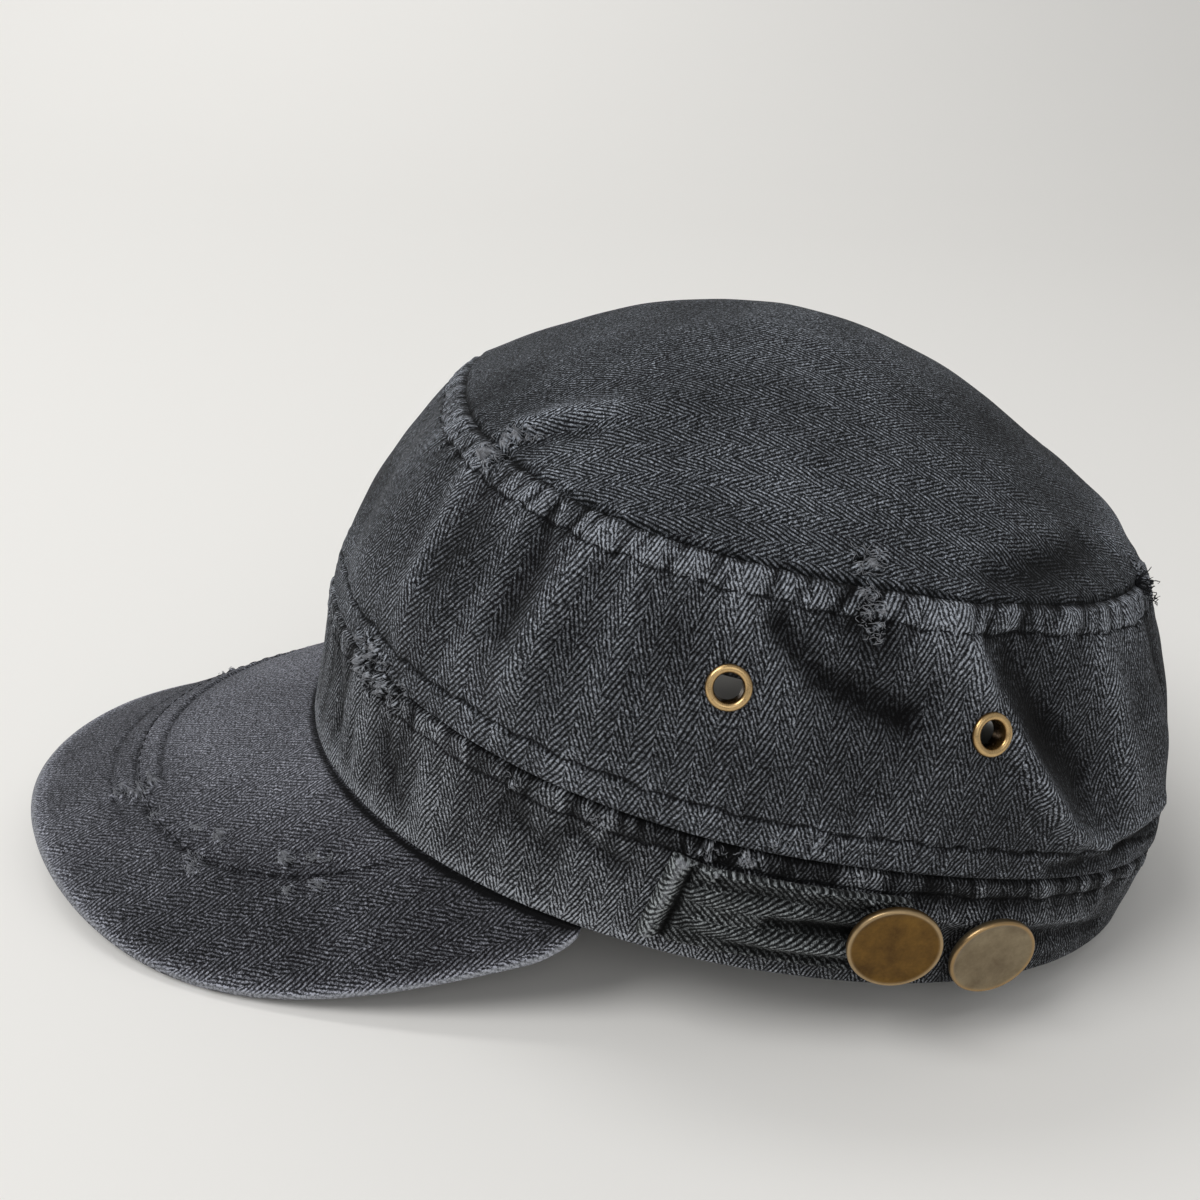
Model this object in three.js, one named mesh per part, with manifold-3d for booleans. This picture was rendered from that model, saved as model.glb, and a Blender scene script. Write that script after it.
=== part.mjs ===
// Army cap in washed herringbone cotton: peak, band, side wall, domed top, an adjusting tab,
// two brass buttons and four brass eyelets. Millimetres, +Z up, the peak towards -Y and the
// wearer's left side towards +X.
//
// Everything is worked out in a head frame, whose XY plane is the rim, with the angle 0 at the
// middle of the front and 90 at the wearer's left. One group then tips the head frame back until
// the rear of the rim and the two drooping ends of the peak stand on the plane Z = 0.

import * as THREE from 'three';
import { mergeVertices } from 'three/addons/utils/BufferGeometryUtils.js';
import Module from 'manifold-3d';

// Rim, the oval that the head goes through
const rimHalfWidth = 83.3;
const rimHalfLength = 100.3;
const rimPower = 2.1;            // 2 is an ellipse, more is squarer
const rimEgg = 0.014;            // share by which the back is wider than the front

// Band round the head
const bandHeightFront = 31.4;
const bandHeightSide = 25.6;
const bandHeightBack = 16.0;
const bandThickness = 3.0;       // folded cloth with its turned-in edge
const bandFlareFront = -0.5;     // how far its top seam stands out from the rim
const bandFlareSide = -0.5;
const bandFlareBack = 1.8;
const bandFoldDepth = 1.8;

// Side wall
const wallThickness = 1.8;
const wallBulgeFront = 4.4;
const wallBulgeSide = 4.0;
const wallBulgeBack = 4.2;
const wallFoldDepth = 3.0;

// Top panel and its seam
const topHalfWidth = 68.9;
const topHalfLength = 76.0;
const topPower = 2.5;
const topEgg = -0.04;
const topShift = -3.2;           // the panel's middle lies towards the front
const topHeightFront = 79.5;
const topHeightSide = 75.2;
const topHeightBack = 77.1;
const topThickness = 1.8;
const domeRise = 32.4;           // apex above the seam's mean height
const domePower = 1.9;
const apexShift = -4.5;
const topFoldDepth = 1.6;

// Peak
const peakReach = 60.3;          // beyond the rim at the middle
const peakHalfWidth = 87.8;
const peakCornerAngle = 67.2;    // where its edge meets the rim
const peakSlope = 27.5;
const peakDroop = 50;            // drop of its sides
const peakThickness = 3.0;
const peakOutlinePower = 1.92;
const peakDroopPower = 2.35;
const peakCornerPower = 6;       // how late the outline turns in to the corner

// Adjusting tab on the left of the band
const tabStartAngle = 74.5;
const tabLength = 47.5;
const tabHeight = 16.6;
const tabThickness = 2.4;
const tabCornerRadius = 5;
const tabSeatHeight = 13.3;      // its middle above the rim
const tabEndFlare = 1.4;         // its sewn end stands taller than the rest
const tabEndLength = 4;

// Buttons
const buttonRadius = 8.8;
const buttonThickness = 1.6;
const buttonLip = 0.45;          // raised rim of the disc
const buttonLipWidth = 0.9;
const buttonStandoff = 3.0;      // cloth to the underside of the disc
const shankRadius = 2.3;
const shankFootRadius = 3.2;
const frontButtonFromEnd = 5.6;  // its middle to the tab's free end
const frontButtonRaise = 2.0;    // its middle above the tab's
const frontButtonTip = 3;        // degrees that it looks down from the band
const frontButtonTurn = -9;      // degrees that it turns to the front
const rearButtonAngle = 110.3;
const rearButtonHeight = 10.5;
const rearButtonTip = 3;         // it hangs loosely from its shank
const rearButtonTurn = -8;

// Eyelets
const eyeletRadius = 4.4;
const eyeletBore = 2.5;
const eyeletBarrel = 3.1;
const eyeletBackRadius = 3.9;
const eyeletCrown = 1.1;         // height of the rolled ring
const eyeletBackThickness = 0.7;
const eyeletHold = 2.7;          // cloth held smooth round it, in eyelet radii

// Shared fits
const seamGap = 0.3;             // between pieces that are sewn or pressed together
const clothFlattening = 0.5;     // cloth pressed flat where the cap rests

// Mesh steps
const aroundSteps = 80;
const topAroundSteps = 60;
const peakAcrossSteps = 40;
const tabAlongSteps = 12;
const buttonSides = 28;
const eyeletSides = 16;

// Holes in the wall: angle, height as a share of the wall
const eyeletPlaces = [
  { name: 'eyelet_left_front', angle: 77.0, share: 0.59 },
  { name: 'eyelet_left_rear', angle: 103.8, share: 0.575 },
  { name: 'eyelet_right_front', angle: -77.0, share: 0.59 },
  { name: 'eyelet_right_rear', angle: -103.8, share: 0.575 },
];

// Folds of the wall. Angles in degrees, heights and widths as shares of the wall's height,
// rise as a share of wallFoldDepth, where a minus is a hollow.
const wallFolds = [
  { from: [77, 0.98], via: [86, 0.8], to: [94, 0.67], width: 0.11, rise: -0.85 },
  { from: [86, 0.98], via: [93, 0.86], to: [99, 0.78], width: 0.12, rise: 0.3 },
  { from: [101, 0.95], via: [107, 0.68], to: [120, 0.2], width: 0.1, rise: 0.75 },
  { from: [110, 0.86], via: [116, 0.62], to: [124, 0.42], width: 0.19, rise: -1.15 },
  { from: [136, 0.8], via: [140, 0.5], to: [142, 0.25], width: 0.2, rise: 0.5 },
  { from: [35, 0.8], via: [36.5, 0.5], to: [37, 0.25], width: 0.16, rise: 0.45 },
  { from: [45, 0.8], via: [43.5, 0.5], to: [43, 0.25], width: 0.14, rise: -0.35 },
  { from: [57, 0.92], via: [53, 0.68], to: [51, 0.42], width: 0.13, rise: 0.4 },
  { from: [0, 0.85], via: [8, 0.42], to: [12, 0.16], width: 0.13, rise: -0.4 },
  { from: [-52, 0.85], via: [-56, 0.55], to: [-58, 0.3], width: 0.18, rise: 0.45 },
  { from: [-126, 0.85], via: [-122, 0.55], to: [-118, 0.3], width: 0.2, rise: -0.7 },
  { from: [-150, 0.8], via: [-146, 0.5], to: [-148, 0.25], width: 0.2, rise: 0.45 },
];

// Folds of the band, in the same columns, with heights and widths as shares of its side height
// and rise as a share of bandFoldDepth.
const bandFolds = [
  { from: [108, 0.7], via: [118, 0.69], to: [128, 0.66], width: 0.16, rise: 0.55 },
  { from: [106, 0.42], via: [118, 0.42], to: [127, 0.4], width: 0.16, rise: -0.6 },
  { from: [149, 0.95], via: [149, 0.5], to: [149, 0.05], width: 0.2, rise: -0.7 },
];

// Folds of the top, with places as an angle and a share of the way from its middle to the seam,
// widths as shares of its half length and rise as a share of topFoldDepth.
const topFolds = [
  { from: [28, 0.96], via: [38, 0.82], to: [54, 0.66], width: 0.07, rise: 0.7 },
  { from: [148, 0.96], via: [180, 0.84], to: [212, 0.9], width: 0.1, rise: 0.9 },
  { from: [100, 0.93], via: [122, 0.9], to: [140, 0.8], width: 0.12, rise: -0.7 },
];

const degree = Math.PI / 180;
const shareStep = 0.004;         // a normal is worked out over this step of the share
const nearSeam = 0.96;           // share of the top where its slope at the seam is taken
const nearRim = 0.02;            // share of the peak where its slope at the rim is taken

// Shares of the height, or of the way out from the middle, that the mesh rows lie at
const wallRows = [0, 0.12, 0.27, 0.43, 0.59, 0.75, 0.9, 1];
const bandRows = [0, 0.25, 0.45, 0.68, 0.86, 1];
const topRows = [1, 0.9, 0.76, 0.58, 0.38, 0.18, 0];
const peakRows = [0, 0.12, 0.28, 0.45, 0.63, 0.8, 0.93, 1];
const tabColumns = [0, 0.25, 0.5, 0.75, 1];
const peakWidest = 0.985;        // the mesh ends here, just short of the pointed corners

function signedPower(value, power) {
  return Math.sign(value) * Math.abs(value) ** power;
}

// A value that has three sizes, at the front, the sides and the back
function roundValue(angle, front, side, back) {
  const cosine = Math.cos(angle * degree);
  const end = cosine > 0 ? front : back;
  return side + (end - side) * cosine * cosine;
}

// A rounded oval seen from above
function ovalPoint(angle, oval) {
  const sine = Math.sin(angle * degree);
  const cosine = Math.cos(angle * degree);
  return {
    x: oval.halfWidth * signedPower(sine, 2 / oval.power) * (1 - oval.egg * cosine),
    y: oval.shift - oval.halfLength * signedPower(cosine, 2 / oval.power),
  };
}

const rimOval = {
  halfWidth: rimHalfWidth, halfLength: rimHalfLength, power: rimPower, egg: rimEgg, shift: 0,
};
const topOval = {
  halfWidth: topHalfWidth, halfLength: topHalfLength, power: topPower, egg: topEgg, shift: topShift,
};

function outwardAt(angle) {
  const outward = new THREE.Vector3(
    Math.sin(angle * degree) / rimHalfWidth, -Math.cos(angle * degree) / rimHalfLength, 0);
  return outward.normalize();
}

function bandHeightAt(angle) {
  return roundValue(angle, bandHeightFront, bandHeightSide, bandHeightBack);
}

// The seam between the band and the wall, seen from above
function bandSeam(angle) {
  const rim = ovalPoint(angle, rimOval);
  const outward = outwardAt(angle);
  const flare = roundValue(angle, bandFlareFront, bandFlareSide, bandFlareBack);
  return { x: rim.x + outward.x * flare, y: rim.y + outward.y * flare };
}

function topHeightAt(angle) {
  return roundValue(angle, topHeightFront, topHeightSide, topHeightBack);
}

function distanceToSegment(point, start, end) {
  const along = new THREE.Vector2().subVectors(end, start);
  const offset = new THREE.Vector2().subVectors(point, start);
  const share = THREE.MathUtils.clamp(offset.dot(along) / along.lengthSq(), 0, 1);
  return offset.sub(along.multiplyScalar(share)).length();
}

// Sum of the folds at one place of a cloth that is laid flat by the function place
function foldRise(folds, place, point, reach) {
  let rise = 0;
  for (const fold of folds) {
    const [start, middle, end] = [fold.from, fold.via, fold.to].map(place);
    const distance = Math.min(
      distanceToSegment(point, start, middle), distanceToSegment(point, middle, end));
    rise += fold.rise * Math.exp(-((distance / (fold.width * reach)) ** 2));
  }
  return rise;
}

const meanRadius = (rimHalfWidth + rimHalfLength) / 2;
const wallReach = topHeightSide - bandHeightSide;

function wallPlace([angle, share]) {
  return new THREE.Vector2(angle * degree * meanRadius, share * wallReach);
}

function bandPlace([angle, share]) {
  return new THREE.Vector2(angle * degree * meanRadius, share * bandHeightSide);
}

function topPlace([angle, share]) {
  return new THREE.Vector2(
    Math.sin(angle * degree) * share * topHalfWidth,
    -Math.cos(angle * degree) * share * topHalfLength);
}

function halfTurn(angle) {
  return THREE.MathUtils.euclideanModulo(angle + 180, 360) - 180;
}

// The cloth is held smooth round each eyelet: 0 at its middle, 1 well away from it
function awayFromEyelets(point) {
  return eyeletPlaces.reduce((share, place) => {
    const distance = point.distanceTo(wallPlace([place.angle, place.share]));
    return share * (1 - Math.exp(-((distance / (eyeletHold * eyeletRadius)) ** 4)));
  }, 1);
}

// The outer faces of the cloth pieces, each by an angle and a share of its height

function bandPoint(angle, share) {
  const bottom = ovalPoint(angle, rimOval);
  const top = bandSeam(angle);
  const point = new THREE.Vector3(
    THREE.MathUtils.lerp(bottom.x, top.x, share),
    THREE.MathUtils.lerp(bottom.y, top.y, share),
    share * bandHeightAt(angle));
  const place = bandPlace([halfTurn(angle), share]);
  const fold = foldRise(bandFolds, bandPlace, place, bandHeightSide);
  const held = Math.sin(Math.PI * THREE.MathUtils.clamp(share, 0, 1)) ** 0.5;
  return point.addScaledVector(outwardAt(angle), fold * held * bandFoldDepth);
}

function wallPoint(angle, share) {
  const bottom = bandSeam(angle);
  const top = ovalPoint(angle, topOval);
  const point = new THREE.Vector3(
    THREE.MathUtils.lerp(bottom.x, top.x, share),
    THREE.MathUtils.lerp(bottom.y, top.y, share),
    THREE.MathUtils.lerp(bandHeightAt(angle), topHeightAt(angle), share));
  const held = Math.sin(Math.PI * THREE.MathUtils.clamp(share, 0, 1));
  const bulge = roundValue(angle, wallBulgeFront, wallBulgeSide, wallBulgeBack) * held;
  const place = wallPlace([halfTurn(angle), share]);
  const fold = foldRise(wallFolds, wallPlace, place, wallReach) * awayFromEyelets(place);
  return point.addScaledVector(outwardAt(angle), bulge + fold * held ** 0.6 * wallFoldDepth);
}

function topPoint(angle, share) {
  const edge = ovalPoint(angle, topOval);
  const middleY = topShift + apexShift;
  const meanHeight = (topHeightFront + 2 * topHeightSide + topHeightBack) / 4;
  const level = THREE.MathUtils.lerp(meanHeight, topHeightAt(angle), share * share);
  const fold = foldRise(topFolds, topPlace, topPlace([angle, share]), topHalfLength);
  const held = Math.sqrt(1 - share * share);
  return new THREE.Vector3(
    edge.x * share,
    THREE.MathUtils.lerp(middleY, edge.y, share),
    level + domeRise * (1 - share ** domePower) + fold * held * topFoldDepth);
}

// The peak's upper face: across runs from -1 to 1, share from the rim to the edge
function peakPoint(across, share) {
  const inner = ovalPoint(across * peakCornerAngle, rimOval);
  const corner = ovalPoint(peakCornerAngle, rimOval);
  const sweep = across * 90 * degree;
  const length = rimHalfLength + peakReach + corner.y;
  const turnIn = (peakHalfWidth - corner.x) * Math.abs(Math.sin(sweep)) ** peakCornerPower;
  const width = peakHalfWidth * Math.abs(Math.sin(sweep)) ** (2 / peakOutlinePower) - turnIn;
  const outerX = Math.sign(across) * width;
  const outerY = corner.y - length * Math.cos(sweep) ** (2 / peakOutlinePower);
  const fall = Math.tan(peakSlope * degree) * (-outerY - rimHalfLength)
    + peakDroop * (width / peakHalfWidth) ** peakDroopPower;
  return new THREE.Vector3(
    THREE.MathUtils.lerp(inner.x, outerX, share),
    THREE.MathUtils.lerp(inner.y, outerY, share),
    -seamGap - share * fall);
}

// Normal of a face that is given as a function of two values, towards its outer side
function faceNormal(face, first, second, firstStep, secondStep) {
  const alongFirst = new THREE.Vector3().subVectors(
    face(first + firstStep, second), face(first - firstStep, second));
  const alongSecond = new THREE.Vector3().subVectors(
    face(first, second + secondStep), face(first, second - secondStep));
  return alongFirst.cross(alongSecond).normalize();
}

function wallNormal(angle, share) {
  return faceNormal(wallPoint, angle, share, 1, shareStep);
}

// A closed solid between two nets of points with the same rows, with its edges closed.
// Ring nets join their last row to their first.
function solidBetween(front, back, ring) {
  const rows = front.length;
  const columns = front[0].length;
  const positions = [];
  for (const net of [front, back]) {
    for (const row of net) {
      for (const point of row) positions.push(point.x, point.y, point.z);
    }
  }
  const at = (net, row, column) => (net * rows + (row % rows)) * columns + column;
  const index = [];
  const quad = (a, b, c, d) => index.push(a, b, c, a, c, d);
  const lastRow = ring ? rows : rows - 1;
  for (let row = 0; row < lastRow; row += 1) {
    for (let column = 0; column < columns - 1; column += 1) {
      const next = column + 1;
      quad(at(0, row, column), at(0, row + 1, column), at(0, row + 1, next), at(0, row, next));
      quad(at(1, row, column), at(1, row, next), at(1, row + 1, next), at(1, row + 1, column));
    }
    const end = columns - 1;
    quad(at(0, row, 0), at(1, row, 0), at(1, row + 1, 0), at(0, row + 1, 0));
    quad(at(0, row, end), at(0, row + 1, end), at(1, row + 1, end), at(1, row, end));
  }
  if (!ring) {
    const end = rows - 1;
    for (let column = 0; column < columns - 1; column += 1) {
      const next = column + 1;
      quad(at(0, 0, column), at(0, 0, next), at(1, 0, next), at(1, 0, column));
      quad(at(0, end, column), at(1, end, column), at(1, end, next), at(0, end, next));
    }
  }
  const geometry = new THREE.BufferGeometry();
  geometry.setAttribute('position', new THREE.Float32BufferAttribute(positions, 3));
  geometry.setIndex(index);
  return closedGeometry(geometry);
}

function signedVolume(geometry) {
  const position = geometry.attributes.position;
  const index = geometry.index.array;
  const corners = [new THREE.Vector3(), new THREE.Vector3(), new THREE.Vector3()];
  let volume = 0;
  for (let start = 0; start < index.length; start += 3) {
    corners.forEach((corner, order) => corner.fromBufferAttribute(position, index[start + order]));
    volume += corners[0].dot(corners[1].clone().cross(corners[2])) / 6;
  }
  return volume;
}

// Merges shared points, drops triangles without an area and turns the faces outwards
function closedGeometry(geometry) {
  geometry.deleteAttribute('normal');
  geometry.deleteAttribute('uv');
  const merged = mergeVertices(geometry, 1e-4);
  const kept = [];
  const index = merged.index.array;
  for (let start = 0; start < index.length; start += 3) {
    const [a, b, c] = index.slice(start, start + 3);
    if (a !== b && b !== c && c !== a) kept.push(a, b, c);
  }
  merged.setIndex(kept);
  if (signedVolume(merged) < 0) {
    for (let start = 0; start < kept.length; start += 3) {
      [kept[start], kept[start + 1]] = [kept[start + 1], kept[start]];
    }
    merged.setIndex(kept);
  }
  return merged;
}

const wasm = await Module();
wasm.setup();

function toManifold(geometry) {
  const mesh = new wasm.Mesh({
    numProp: 3,
    vertProperties: new Float32Array(geometry.attributes.position.array),
    triVerts: new Uint32Array(geometry.index.array),
  });
  return new wasm.Manifold(mesh);
}

function fromManifold(solid) {
  const mesh = solid.getMesh();
  const geometry = new THREE.BufferGeometry();
  geometry.setAttribute('position', new THREE.Float32BufferAttribute(mesh.vertProperties, 3));
  geometry.setIndex(Array.from(mesh.triVerts));
  return geometry;
}

function subtractAll(geometry, cutters) {
  let solid = toManifold(geometry);
  for (const cutter of cutters) solid = solid.subtract(toManifold(cutter));
  return fromManifold(solid);
}

// At a seam between two cloths, both edges are cut along one slanting line, from the seam's
// outer point inwards, so that they lie face to face.
function topSeamInward(angle) {
  const wall = wallNormal(angle, 1);
  const top = faceNormal(topPoint, angle, nearSeam, 1, -shareStep);
  const middle = wall.clone().add(top).normalize();
  const thickness = (wallThickness + topThickness) / 2;
  return middle.multiplyScalar(-thickness / Math.max(0.5, middle.dot(wall)));
}

function anglesAround(steps) {
  return Array.from({ length: steps }, (_, step) => (step * 360) / steps);
}

function makeBand() {
  const highest = (angle) => 1 - seamGap / 2 / bandHeightAt(angle);
  const front = [];
  const back = [];
  for (const angle of anglesAround(aroundSteps)) {
    const shares = bandRows.map((row) => row * highest(angle));
    const inward = outwardAt(angle).multiplyScalar(-bandThickness);
    front.push(shares.map((share) => bandPoint(angle, share)));
    back.push(shares.map((share) => bandPoint(angle, share).add(inward)));
  }
  return solidBetween(front, back, true);
}

function makeWall() {
  const front = [];
  const back = [];
  for (const angle of anglesAround(aroundSteps)) {
    const edge = seamGap / 2 / (topHeightAt(angle) - bandHeightAt(angle));
    const shares = wallRows.map((row) => THREE.MathUtils.lerp(edge, 1 - edge, row));
    const outer = shares.map((share) => wallPoint(angle, share));
    const inner = shares.map((share, order) => {
      if (order === 0) return outer[0].clone().addScaledVector(outwardAt(angle), -wallThickness);
      if (order === shares.length - 1) return outer[order].clone().add(topSeamInward(angle));
      return outer[order].clone().addScaledVector(wallNormal(angle, share), -wallThickness);
    });
    front.push(outer);
    back.push(inner);
  }
  const holes = eyeletPlaces.map((place) => {
    const length = 6 * wallThickness; // right through the cloth
    const drill = new THREE.CylinderGeometry(
      eyeletBarrel + seamGap, eyeletBarrel + seamGap, length, eyeletSides);
    return closedGeometry(drill.applyMatrix4(eyeletMatrix(place)));
  });
  return subtractAll(solidBetween(front, back, true), holes);
}

function makeTop() {
  const edge = seamGap / topHalfWidth;
  const front = [];
  const back = [];
  for (const angle of anglesAround(topAroundSteps)) {
    const shares = topRows.map((row) => row * (1 - edge));
    const outer = shares.map((share) => topPoint(angle, share));
    const inner = shares.map((share, order) => {
      if (order === 0) return outer[0].clone().add(topSeamInward(angle));
      if (share === 0) return outer[order].clone().add(new THREE.Vector3(0, 0, -topThickness));
      const normal = faceNormal(topPoint, angle, share, 1, -shareStep);
      return outer[order].clone().addScaledVector(normal, -topThickness);
    });
    front.push(outer);
    back.push(inner);
  }
  return solidBetween(front, back, true);
}

// The peak reaches under the band as a ledge of the band's thickness, where it is sewn on
function makePeak() {
  const upper = [];
  const lower = [];
  for (let step = 0; step <= peakAcrossSteps; step += 1) {
    const across = THREE.MathUtils.lerp(-peakWidest, peakWidest, step / peakAcrossSteps);
    const ledge = peakPoint(across, 0)
      .addScaledVector(outwardAt(across * peakCornerAngle), -bandThickness);
    const face = peakRows.map((share) => peakPoint(across, share));
    const under = face.map((point, order) => {
      const share = Math.max(peakRows[order], nearRim);
      const normal = faceNormal(peakPoint, across, share, -0.01, shareStep);
      if (normal.z < 0) normal.negate();
      const level = order === 0 ? new THREE.Vector3(0, 0, 1) : normal;
      return point.clone().addScaledVector(level, -peakThickness);
    });
    upper.push([ledge, ...face]);
    lower.push([ledge.clone().setZ(ledge.z - peakThickness), ...under]);
  }
  return solidBetween(upper, lower, false);
}

// The angle at which the band's middle line is a given length past another angle
function angleAlongBand(startAngle, length) {
  const step = 0.25;
  let angle = startAngle;
  let walked = 0;
  let here = bandPoint(angle, 0.5).setZ(0);
  while (walked < length) {
    const there = bandPoint(angle + step, 0.5).setZ(0);
    walked += here.distanceTo(there);
    here = there;
    angle += step;
  }
  return angle;
}

// A point on the band at a real height above the rim, lifted off its face
function onBand(angle, height, lift) {
  const share = height / bandHeightAt(angle);
  return bandPoint(angle, share).addScaledVector(outwardAt(angle), lift);
}

function makeTab() {
  const outer = [];
  const inner = [];
  for (let step = 0; step <= tabAlongSteps; step += 1) {
    const walked = tabLength * Math.sin((step / tabAlongSteps) * 90 * degree);
    const angle = angleAlongBand(tabStartAngle, walked);
    const fromEnd = THREE.MathUtils.clamp(tabLength - walked, 0, tabCornerRadius);
    const rounding = tabCornerRadius
      - Math.sqrt(tabCornerRadius ** 2 - (tabCornerRadius - fromEnd) ** 2);
    const flare = tabEndFlare * Math.exp(-((walked / tabEndLength) ** 2));
    const low = tabSeatHeight - tabHeight / 2 + rounding;
    const high = tabSeatHeight + tabHeight / 2 - rounding + flare;
    const heights = tabColumns.map((side) => THREE.MathUtils.lerp(low, high, side));
    outer.push(heights.map((height) => onBand(angle, height, seamGap + tabThickness)));
    inner.push(heights.map((height) => onBand(angle, height, seamGap)));
  }
  return solidBetween(outer, inner, false);
}

function lathe(profile, sides) {
  const points = profile.map(([radius, height]) => new THREE.Vector2(radius, height));
  return closedGeometry(new THREE.LatheGeometry(points, sides));
}

// A flat disc with a raised rim on a short shank, its foot a gap above the cloth
function makeButton() {
  const under = buttonStandoff;
  const face = buttonStandoff + buttonThickness;
  return lathe([
    [0, seamGap],
    [shankFootRadius, seamGap],
    [shankFootRadius, seamGap + 0.3 * buttonStandoff],
    [shankRadius, seamGap + 0.5 * buttonStandoff],
    [shankRadius, under],
    [buttonRadius - 0.5 * buttonThickness, under],
    [buttonRadius, under + 0.45 * buttonThickness],
    [buttonRadius - 0.3 * buttonLipWidth, face + buttonLip],
    [buttonRadius - buttonLipWidth, face + buttonLip],
    [buttonRadius - 1.6 * buttonLipWidth, face],
    [0, face],
  ], buttonSides);
}

// A rolled brass ring outside, its barrel through the cloth and a flat flange inside
function makeEyelet() {
  const behind = -wallThickness - seamGap;
  const back = behind - eyeletBackThickness;
  const crown = seamGap + eyeletCrown;
  const middle = (eyeletRadius + eyeletBarrel) / 2;
  return lathe([
    [eyeletBore, back],
    [eyeletBackRadius, back],
    [eyeletBackRadius, behind],
    [eyeletBarrel, behind],
    [eyeletBarrel, seamGap],
    [eyeletRadius, seamGap],
    [eyeletRadius, seamGap + 0.45 * eyeletCrown],
    [middle + 0.2, crown],
    [middle - 0.4, crown],
    [eyeletBore, seamGap + 0.3 * eyeletCrown],
    [eyeletBore, back],
  ], eyeletSides);
}

// A matrix that stands a lathed piece on a face: its axis along the normal
function standingMatrix(point, normal) {
  const turn = new THREE.Quaternion().setFromUnitVectors(new THREE.Vector3(0, 1, 0), normal);
  return new THREE.Matrix4().compose(point, turn, new THREE.Vector3(1, 1, 1));
}

function eyeletMatrix(place) {
  return standingMatrix(
    wallPoint(place.angle, place.share), wallNormal(place.angle, place.share));
}

// How far a tilted foot has to be raised so that its whole edge clears the band
function footLift(angle, height, axis) {
  const level = outwardAt(angle);
  const step = bandPoint(angle + 1, 0.5).distanceTo(bandPoint(angle - 1, 0.5)) / 2;
  const along = new THREE.Vector3(0, 0, 1).cross(level).normalize();
  const side = new THREE.Vector3(0, 0, 1).cross(axis).normalize();
  const upper = new THREE.Vector3().crossVectors(axis, side);
  const seat = onBand(angle, height, 0);
  let raise = 0;
  for (let turn = 0; turn < 360; turn += 30) {
    const offset = side.clone().multiplyScalar(shankFootRadius * Math.cos(turn * degree))
      .addScaledVector(upper, shankFootRadius * Math.sin(turn * degree));
    const below = onBand(angle + offset.dot(along) / step, height + offset.z, 0);
    raise = Math.max(raise, below.sub(seat).sub(offset).dot(level));
  }
  return raise;
}

// The button's foot stands on the cloth and its axis leans by tip (down) and turn (rearwards)
function buttonMatrix(angle, height, lift, tip, turn) {
  const level = outwardAt(angle);
  const rearwards = new THREE.Vector3(0, 0, 1).cross(level).normalize();
  const axis = level.clone()
    .applyAxisAngle(rearwards, tip * degree)
    .applyAxisAngle(new THREE.Vector3(0, 0, 1), turn * degree);
  return standingMatrix(onBand(angle, height, lift + footLift(angle, height, axis)), axis);
}

// Materials: washed black cotton and aged brass
const cloth = { roughness: 0.95, metalness: 0 };
const clothMaterials = {
  peak: new THREE.MeshStandardMaterial({ ...cloth, color: 0x4c4c52 }),
  band: new THREE.MeshStandardMaterial({ ...cloth, color: 0x45464a }),
  crown_wall: new THREE.MeshStandardMaterial({ ...cloth, color: 0x37393d }),
  crown_top: new THREE.MeshStandardMaterial({ ...cloth, color: 0x42444a }),
  tab: new THREE.MeshStandardMaterial({ ...cloth, color: 0x333536 }),
};

function buttonMaterial() {
  return new THREE.MeshStandardMaterial({ color: 0x7a5f38, roughness: 0.4, metalness: 0.9 });
}

function eyeletMaterial() {
  return new THREE.MeshStandardMaterial({ color: 0xa9824a, roughness: 0.35, metalness: 0.9 });
}

const cap = new THREE.Group();

function addPiece(name, geometry, material, matrix) {
  const piece = new THREE.Mesh(geometry, material);
  piece.name = name;
  if (matrix) matrix.decompose(piece.position, piece.quaternion, piece.scale);
  cap.add(piece);
}

// Lowest point of a piece once the head frame is tipped back by an angle
function lowestTipped(geometry, tip) {
  const position = geometry.attributes.position;
  let lowest = Infinity;
  for (let point = 0; point < position.count; point += 1) {
    const height = position.getZ(point) * Math.cos(tip) - position.getY(point) * Math.sin(tip);
    lowest = Math.min(lowest, height);
  }
  return lowest;
}

// The tip at which the rear of the rim and the ends of the peak are level, found by halving
function restingTip(band, peak) {
  let low = 0;
  let high = 45 * degree;
  for (let halving = 0; halving < 40; halving += 1) {
    const middle = (low + high) / 2;
    if (lowestTipped(peak, middle) < lowestTipped(band, middle)) low = middle;
    else high = middle;
  }
  return (low + high) / 2;
}

const wholeBand = makeBand();
const wholePeak = makePeak();
const tip = restingTip(wholeBand, wholePeak);
const lift = -lowestTipped(wholeBand, tip) - clothFlattening;
cap.rotation.x = -tip;
cap.position.z = lift;
cap.updateMatrix();

// The cloth below the resting plane is pressed flat
function pressedFlat(geometry) {
  const depth = 20;
  const size = 4 * (rimHalfLength + peakReach);
  const below = new THREE.BoxGeometry(size, size, depth).translate(0, 0, -depth / 2);
  below.applyMatrix4(cap.matrix.clone().invert());
  return subtractAll(geometry, [closedGeometry(below)]);
}

addPiece('peak', pressedFlat(wholePeak), clothMaterials.peak);
addPiece('band', pressedFlat(wholeBand), clothMaterials.band);
addPiece('crown_wall', makeWall(), clothMaterials.crown_wall);
addPiece('crown_top', makeTop(), clothMaterials.crown_top);
addPiece('tab', makeTab(), clothMaterials.tab);

const frontButtonAngle = angleAlongBand(tabStartAngle, tabLength - frontButtonFromEnd);
addPiece('button_front', makeButton(), buttonMaterial(), buttonMatrix(
  frontButtonAngle, tabSeatHeight + frontButtonRaise, seamGap + tabThickness,
  frontButtonTip, frontButtonTurn));
addPiece('button_rear', makeButton(), buttonMaterial(), buttonMatrix(
  rearButtonAngle, rearButtonHeight, 0, rearButtonTip, rearButtonTurn));

for (const place of eyeletPlaces) {
  addPiece(place.name, makeEyelet(), eyeletMaterial(), eyeletMatrix(place));
}

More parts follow.
